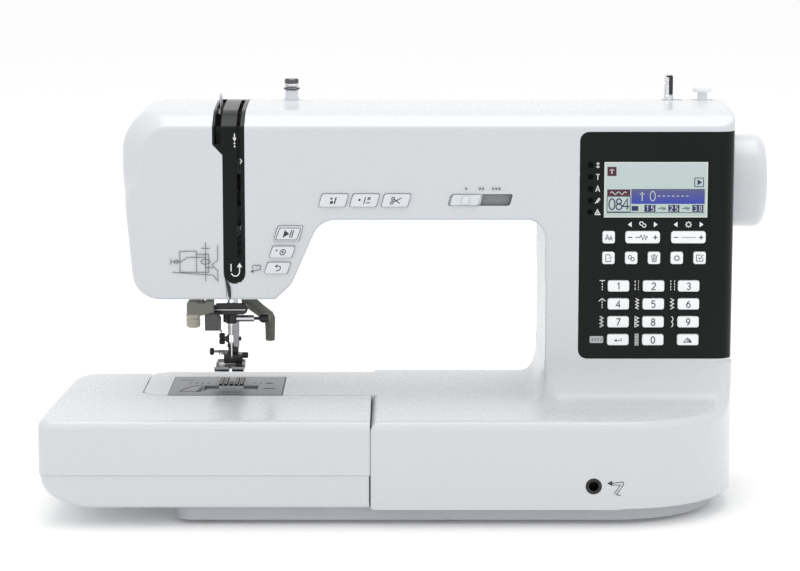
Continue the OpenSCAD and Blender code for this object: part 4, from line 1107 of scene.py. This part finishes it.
# ---- handwheel and the fittings on top ----
def make_top_parts():
    lo, hi = span("handwheel")
    r, x0, x1 = (hi[2] - lo[2]) / 2, 217.2, hi[0]
    rim = [(x1 - 7 + 7 * math.sin(a), r - 7 + 7 * math.cos(a)) for a in np.linspace(math.pi / 2, 0, 9)]
    profile = [(0, x1 - 1.0), (r - 13, x1 - 0.8), (r - 10, x1)] + [(b, a) for a, b in rim]
    profile += [(r, x0 + 1.4), (r - 0.5, x0 + 0.4), (r - 1.6, x0), (r - 4, x0), (r - 4, x1 - 5.5), (10,
                                                                                                    x1 - 5.5),
                (10, lo[0]), (0, lo[0])]
    wheel = Solid().lathe(profile, "x", (0, NEEDLE_Y, (lo[2] + hi[2]) / 2), 96)
    wheel.add("wheel_body", WHITE, "handwheel", ("handwheel",), "white_plastic", angle=30)

    f = Solid()
    tension, stopper = (TENSION_X, TOP_Y, 0), (STOPPER_X, TOP_Y, 0)
    f.use(1).lathe([(0, 265.5), (5.0, 265.5), (5.0, 267), (4.4, 268), (4.4, 272.2), (3.8, 272.9), (0,
                                                                                                   272.9)],
                   "z", tension)
    f.use(3).lathe([(0, 272.7), (5.0, 272.8), (5.6, 273.3), (5.6, 273.9), (5.0, 274.4), (3.4, 274.5), (3.4,
                                                                                                       275),
                    (0, 275)], "z", tension)
    f.use(0).lathe([(0, 274.9), (4.6, 275), (4.9, 275.5), (4.9, 276.6), (4.6, 277), (0, 277)], "z", tension)
    f.use(3).lathe([(0, 276.9), (4.5, 277), (4.8, 277.4), (4.8, 279.6), (4.2, 280.3), (0, 280.4)], "z",
                   tension)
    f.use(2).lathe([(0, 265.5), (3.4, 265.5), (3.4, 270.6), (3.9, 271.2), (6.6, 271.3), (6.9, 272), (6.9,
                                                                                                     273.6),
                    (6.3, 274.8), (4.5, 275.2), (0, 275.2)], "z", stopper)
    f.use(2).lathe([(2.5, 63.2), (2.5, 130)], "x", (0, 59.5, 252), 24)
    f.use(2).lathe([(0, 60.2), (7.4, 60.4), (9, 61.2), (9, 62.6), (7.4, 64), (0, 64)], "x", (0, 59.5, 252))
    f.add("top_fittings", [CHROME, CLEAR, MILKY, DARK_CHROME], "chassis", ("thread_fittings",))

    w = Solid()
    w.use(0).lathe([(0, 247), (9, 247), (9, 250.5), (3.4, 250.5), (3.4, 268.5), (3.0, 269), (3.0, 276.4),
                    (2.5, 276.8), (2.5, 277.8), (3.0, 278.2), (3.0, 281.8), (2.2, 283.1), (0, 283.2)], "z",
                   (SPINDLE_X, TOP_Y, 0))
    w.use(1).box((177.5, 41.8, 269.4), (180.2, 43.8, 281.6), 0.3)
    w.use(1).box((176, 41.7, 281.2), (180, 43.4, 282.6), 0.3)
    w.add("winder_post", [CHROME, BLACKED], "winder_spindle", ("winder_spindle",))


# ---- sewing parts under the head ----
def offset(points, d):
    """Outline moved inwards by d; the points run anticlockwise."""
    pts = np.array(points, float)
    out = []
    for k, q in enumerate(pts):
        a, b = q - pts[k - 1], pts[(k + 1) % len(pts)] - q
        a, b = a / np.hypot(*a), b / np.hypot(*b)
        na, nb = np.array((-a[1], a[0])), np.array((-b[1], b[0]))
        m = na + nb
        out.append(tuple(q + m * d / max(m.dot(na), 0.35)))
    return out


def front_plate(solid, points, y0, y1, edge=0.4):
    """Flat part with an outline seen from the front and broken edges."""
    small = offset(points, edge)
    solid.loft([[(u, y, v) for u, v in line] for y, line in
                ((y0, small), (y0 + edge, points), (y1 - edge, points), (y1, small))])


def bar(solid, axis, lo, hi, r, centre, edge=0.3, n=28):
    solid.lathe([(0, lo), (r - edge, lo), (r, lo + edge), (r, hi - edge), (r - edge, hi), (0, hi)], axis,
                centre, n)


def make_threader():
    hi = span("needle_threader")[1]
    t = Solid()
    t.use(0)
    bar(t, "z", 128, hi[2], 2.5, (-142, 32, 0))
    front_plate(t, [(-151.5, 119.3), (-141, 119.3), (-133, 121.4), (-133, 129.6), (-138, 129.6), (-139.4,
                                                                                                  128.4),
                    (-143, 128.4), (-144.4, 129.6), (-149.8, 129.6), (-151.5, 127.4)], 27.5, 37.5, 0.7)
    t.use(1)
    rings = []
    for z, k in ((120.2, 0.9), (119.8, 1), (117.6, 1), (117.3, 0.86), (116.8, 0.86), (116.7, 1), (114.6, 1),
                 (114.4, 0.9), (114.0, 0.9), (113.7, 1), (112.2, 0.98), (111.3, 0.88), (110.8, 0.7)):
        rings.append([(-147.2 + 4.9 * k * math.cos(a), 30.3 + 3.7 * k * math.sin(a), z)
                      for a in np.linspace(0, 2 * math.pi, 32, endpoint=False)])
    t.loft(rings)
    t.use(2)
    front_plate(t, [(-139.3, 108.5), (-130, 108.5), (-128.5, 110.4), (-128.5, 116.8), (-131.2, 120.4),
                    (-139.3, 120.4)], 29, 37.5, 0.5)
    t.use(3)
    t.tube([(-129.2, 35.6, 112), (-128.9, 35.6, 109), (-128.6, 36.2, 107), (-128.4, 36.9, 106.4)], 0.55)
    t.box((-130, 34.4, 107), (-129.2, 37.4, 109.5), 0.2)
    t.add("threader_parts", [THREADER, KNOB_BEIGE, SPECKLED, STEEL], "needle_threader",
          ("needle_threader",))


def make_lifter_grip():
    """Soft elbow and ribbed grip over the lower end of the lifter."""
    g = Solid()
    y = (span("presser_lifter")[0][1] + span("presser_lifter")[1][1]) / 2
    g.tube([(-110.6, y, 124.6), (-107.4, y, 121.6), (-102.4, y, 117.2), (-98.8, y, 114.4),
            (-96.8, y, 111.6), (-96.2, y, 108)], 3.3, 20)
    rings = []
    for k in range(91):
        f = k / 90
        z = 110.5 - 16 * f
        swell = 1 + 0.09 * math.cos(f * 2 * math.pi * 9)
        end = math.sqrt(max(1 - max((f - 0.86) / 0.145, 0) ** 2, 0.02))
        rings.append([(-96.2 - 0.2 * f + 3.35 * swell * end * math.cos(a),
                       y + 2.9 * swell * end * math.sin(a), z) for a in np.linspace(0, 2 * math.pi, 24,
                                                                                       endpoint=False)])
    g.loft(rings)
    g.add("lifter_grip", LIFTER, "presser_lifter", angle=50)


def make_needle_bar():
    hi = span("needle_bar")[1]
    x, y = NEEDLE_X, NEEDLE_Y
    screw = (0, y, 114.8)
    n = Solid()
    n.use(0).lathe([(0, 124.8), (1.05, 124.8), (1.05, 112), (3.1, 112), (3.1, hi[2] - 0.4), (2.7, hi[2]),
                    (0, hi[2])], "z", (x, y, 0), 36)
    n.use(1).lathe([(3.1, 118.5), (3.1, 111.7), (4.0, 111.7), (4.3, 112.1), (4.3, 118.1), (4.0, 118.5)], "z",
                   (x, y, 0), 36)
    right = arc(-114.3, 122, 4.0, 4.0, -90, 90, 9)
    front_plate(n, [(-132.4, 118)] + right + [(-131, 126), (-133.5, 124.4), (-133.5, 119.2)], 38.8, 40.6, 0.4)
    front_plate(n, [(-132.4, 119)] + [(u, 122 + (v - 122) * 0.75) for u, v in right]
                + [(-132.4, 125)], 40.6, 46.8, 0.3)
    n.box((-125, 37.5, 205), (-114.5, 48.5, 214), 0.6)
    n.use(0)
    n.tube([(-132.6, 38.4, 121.4), (-131, 38.4, 121.6), (-118, 38.4, 121.6), (-113.6, 38.4, 121.6),
            (-112.6, 38.6, 121.6), (-112.4, 39.4, 121.6)], 0.75)
    bar(n, "x", -118.6, -106, 2.35, screw)
    bar(n, "x", -127.6, -126.4, 1.2, (0, y, 116.4))
    n.use(1)
    bar(n, "x", -127.4, -118.4, 2.7, screw)
    bar(n, "x", -107, -101.6, 1.1, screw)
    n.lathe([(0, -102.7), (1.6, -102.7), (2.7, -101.4), (3.1, -100.4), (3.1, -96.8), (2.5, -95.8), (0,
                                                                                                    -95.8)],
            "x", screw, 14)
    n.add("needle_bar_parts", [CHROME, BLACKED], "needle_bar", ("needle_bar",), angle=40)


def make_presser_bar():
    hi = span("presser_bar")[1]
    b = Solid()
    b.use(0)
    bar(b, "z", 101, hi[2], 3.6, (NEEDLE_X, 58, 0))
    b.use(2)
    front_plate(b, [(-125.2, 101.2), (-121.4, 101.2), (-121.4, 93.4), (-120.6, 92.5), (-117.4, 92.5),
                    (-117.4, 111.5), (-125.2, 111.5)], 52.5, 63.5, 0.5)
    bar(b, "z", 110.6, 113.2, 4.9, (NEEDLE_X, 58, 0), 0.5)
    b.use(1)
    b.box((-125.6, 53.5, 92.5), (-120.8, 62.5, 94.6), 0.4)
    front_plate(b, [(-127.6, 97), (-124.4, 94.2), (-124.4, 101.4), (-127.6, 99)], 56, 59, 0.3)
    for z in (96, 100):
        bar(b, "x", -131.4, -127.4, 2.1, (0, 57.5, z), 0.6, 20)
    b.box((-129.9, 56.4, 96.6), (-128.4, 58.6, 99.4), 0.2)
    bar(b, "x", -117.6, -116, 1.5, (0, 57.5, 98), 0.3)
    b.use(0)
    b.box((-125, 56, 170), (-112, 63.6, 178), 0.6)
    bar(b, "y", 63, 69.8, 1.5, (-114, 0, 174))
    b.add("presser_bar_parts", [CHROME, BLACKED, STEEL_BRIGHT], "presser_bar", ("presser_bar",), angle=40)


def make_presser_foot():
    x0, x1, z0 = -132.9, -112.9, 79.0
    f = Solid()

    def strip(a, b2, ys):
        """Flat strip of the sole that bends up towards the toe."""
        rings = []
        for y in ys:
            z = z0 + 3.4 * max((36 - y) / 11, 0) ** 2
            rings.append([(a, y, z), (b2, y, z), (b2, y, z + 1.7), (a, y, z + 1.7)])
        f.loft(rings)
    toe = [25 + 1.5 * k for k in range(12)]
    f.use(0)
    strip(x0, -123, toe)
    strip(-121, x1, toe)
    strip(x0, -125.5, (41.5, 45.5))
    strip(-118.5, x1, (41.5, 45.5))
    strip(x0, x1, (45.5, 62))
    for a, b2 in ((x0, x0 + 1.3), (x1 - 1.3, x1)):
        f.box((a, 44, 80.6), (b2, 58, 83.6), 0.4)
    bar(f, "x", -131.8, -114, 1.0, (0, 54, 83.2))
    f.use(1)
    f.box((-128, 50.5, 81.6), (-115, 61, 88), 0.8)
    f.box((-125, 53, 87.5), (-118, 62, 92.4), 0.5)
    f.box((-119.6, 46, 80.6), (-115.2, 50.4, 82.4), 0.3)
    bar(f, "x", -138, -135, 2.6, (0, 56, 89.2), 0.7)
    bar(f, "x", -115.6, -111.2, 2.1, (0, 56, 86.6), 0.5)
    f.use(0)
    bar(f, "x", -135.2, -124, 0.9, (0, 56, 89.2), 0.2)
    for x in (-131.6, -130, -128.8):
        bar(f, "x", x, x + 0.9, 1.9, (0, 56, 88.6), 0.3, 20)
    f.add("presser_foot_parts", [STEEL_BRIGHT, BLACKED], "presser_bar", ("presser_foot",), angle=40)


def make_plate_marks():
    top = BED_Z
    ink = Solid()
    curve = [(-155.4, 9.5), (-153.6, 17), (-150.8, 23.5), (-147.4, 28.4), (-143.4, 31), (-140.2, 31)]
    ribbon(ink, curve, 0.7, top, True)
    ribbon(ink, [(-155.4, 9.5), (-141.4, 9.5)], 0.4, top, True)
    patch(ink, [(-144.6, 11), (-140.6, 11), (-140.2, 28), (-141.8, 25)], top, True)
    for x in (-150.6, -146.4, -142.2, -138, -106.4, -102.2, -98):
        ribbon(ink, [(x, 36.5), (x + 0.7, 41.5)], 0.5, top, True)
    ribbon(ink, [(-157, 50), (-149, 50)], 0.4, top, True)
    patch(ink, [(-98, 37.5), (-93, 37.5), (-95.5, 41.5)], top, True)
    ribbon(ink, [(plate_lo[0] + 0.6, plate_lo[1] + 0.5), (plate_hi[0] - 0.5, plate_lo[1] + 0.5),
                 (plate_hi[0] - 0.5, plate_hi[1] - 0.6)], 0.6, top, True)
    ink.add("plate_marks", PRINT_DARK)


make_panel_marks()
make_head_marks()
make_top_parts()
make_threader()
make_lifter_grip()
make_needle_bar()
make_presser_bar()
make_presser_foot()
make_plate_marks()


# ---- table and tray ----
def make_table():
    lo, hi = (TABLE_LEFT, BED_FRONT, BASE_Z), (TABLE_RIGHT, TABLE_BACK, BED_Z)
    step = 1.4
    pts, quads = surface(table_shape, lo, hi, step)
    solid = mesh_from("table", pts, quads)

    def hollow(x, y, z):
        return np.maximum(table_shape(x, y, np.maximum(z, 40.0)) + WALL, 20 - z)
    hp, hq = surface(hollow, (TABLE_LEFT, BED_FRONT, 20), hi, step * 1.5)
    inner = mesh_from("hollow", hp, hq)
    low_front = cutter("low", (-260, -120, 0), (0, -5.2, TRAY_Z - 0.05))
    low_well = cutter("well", (-222, -2.7, 0), (0, 68, 37))
    table = boolean(solid, [low_front, inner, low_well])
    shade_from(table, table_shape)
    add_object("table_cover", table, WHITE, "extension_table", ("extension_table",))
    rails = Solid()
    for x in RAILS_X:
        for s in (-1, 1):
            for near, far, top in ((5.2, 6.8, 67.8), (2, 6.0, 31.2)):
                x0, x1 = sorted((x + s * near, x + s * far))
                rails.box((x0, -80, 29.8), (x1, -8.6, top), 0.3)
    for y in TONGUES_Y:
        rails.box((TABLE_RIGHT - 1, y - 6, 45), (TABLE_RIGHT + 5, y + 6, 52), 1.2)
    rails.add("table_rails", WHITE, "extension_table", (), "white_plastic")

    def tray_outer(x, y, z):
        return table_shape(x, y, z) + 0.6

    tray = mesh_from("tray", *surface(tray_outer, lo, hi, step))

    def tray_space(x, y, z):
        return np.maximum(table_shape(x, y, z) + 0.6 + WALL, y + 5.6 + WALL)
    room = mesh_from("room", *surface(tray_space, lo, hi, step * 1.3))
    cuts = [cutter("top", (-260, -120, tray_hi[2]), (0, 120, 100)),
            cutter("back", (-260, tray_hi[1], 0), (0, 120, 100)), room]
    for x in RAILS_X:
        cuts.append(cutter("notch", (x - 7.3, -9, 29.3), (x + 7.3, -4, 40)))
    tray = boolean(tray, cuts)
    shade_from(tray, tray_outer)
    add_object("tray_body", tray, WHITE, "accessory_tray", ("accessory_tray",))
    ribs = Solid()
    for x in RAILS_X:
        ribs.box((x - 1, BED_FRONT + 4, 14), (x + 1, -8, 32.5), 0.3)
        ribs.box((x - 4.5, BED_FRONT + 8, 32), (x + 4.5, -8, 33.6), 0.4)
    ribs.add("tray_ribs", WHITE, "accessory_tray", (), "white_plastic")


make_table()


# ---- carried-over CAD pieces ----
finish_nodes(CAST, "main_frame")
finish_nodes(GREY_BASE, "base_plate")
finish_nodes(RUBBER, "rubber_feet", "drive_belts")
finish_nodes(ENAMEL, "drive_motor")
finish_nodes(BOARD, "circuit_boards")
finish_nodes(CHANNEL, "sockets", "bobbin_case")
finish_nodes(STEEL, "main_shaft", "lower_shaft")
finish_nodes(BLACKED, "feed_dog")
finish_nodes(CHROME, "rotary_hook", "needle")
finish_nodes(DARK_STEEL, "take_up_lever")
lever = NODES["take_up_lever"].data
lever.materials.append(BUTTON)
for face in lever.polygons:
    face.material_index = int(face.center.z > (RIDGE_Z - 3) * MM)
# the bobbin cover's colour holds painted light that offsets the shade of its low seat
finish_nodes(SMOKED_PAINTED_LIGHT, "bobbin_cover")
finish_nodes(CLEAR, "bobbin")
finish_nodes(PLATE, "needle_plate")
finish_nodes(LIFTER, "presser_lifter")
make_display()


# ---- stage ----
FLOOR_SIZE = 25.0
LIGHTS = (("key_light", (-0.7, -1.5, 1.9), 3.0, 1.4), ("fill_light", (1.2, -1.2, 1.2), 1.5, 1.2),
          ("top_light", (0.0, 0.3, 1.8), 14, 1.4))  # name, place in metres, watts, width
AIM = Vector((0, 0, 0.12))
EYE, TILT, LENS = (-0.0055, -1.765, 0.428), math.radians(9.12), 119.6


def make_stage():
    size = FLOOR_SIZE
    v = [(-size, -size, 0), (size, -size, 0), (size, size, 0), (-size, size, 0)]
    me = bpy.data.meshes.new("floor")
    me.from_pydata(v, [], [(0, 1, 2, 3)])
    floor = bpy.data.objects.new("floor", me)
    bpy.context.scene.collection.objects.link(floor)
    me.materials.append(material("pale_floor", (0.86, 0.86, 0.86), 0.7, second=(0.855, 0.855, 0.855), patch=2,
                                 glow=0.13, specular=0.2))
    world = bpy.data.worlds.new("studio")
    world.use_nodes = True
    world.node_tree.nodes["Background"].inputs["Color"].default_value = (1, 1, 1, 1)
    world.node_tree.nodes["Background"].inputs["Strength"].default_value = 1.0
    bpy.context.scene.world = world
    for name, place, power, width in LIGHTS:
        data = bpy.data.lights.new(name, "AREA")
        data.energy, data.size = power, width
        o = bpy.data.objects.new(name, data)
        o.location = place
        o.rotation_euler = (AIM - Vector(place)).to_track_quat("-Z", "Y").to_euler()
        bpy.context.scene.collection.objects.link(o)


def make_camera():
    data = bpy.data.cameras.new("camera")
    data.sensor_width = 36.0
    data.lens = LENS
    cam = bpy.data.objects.new("camera", data)
    cam.location = EYE
    cam.rotation_euler = (math.pi / 2 - TILT, 0, 0)
    bpy.context.scene.collection.objects.link(cam)
    bpy.context.scene.camera = cam


make_stage()
make_camera()
bpy.context.scene.view_settings.view_transform = "Standard"
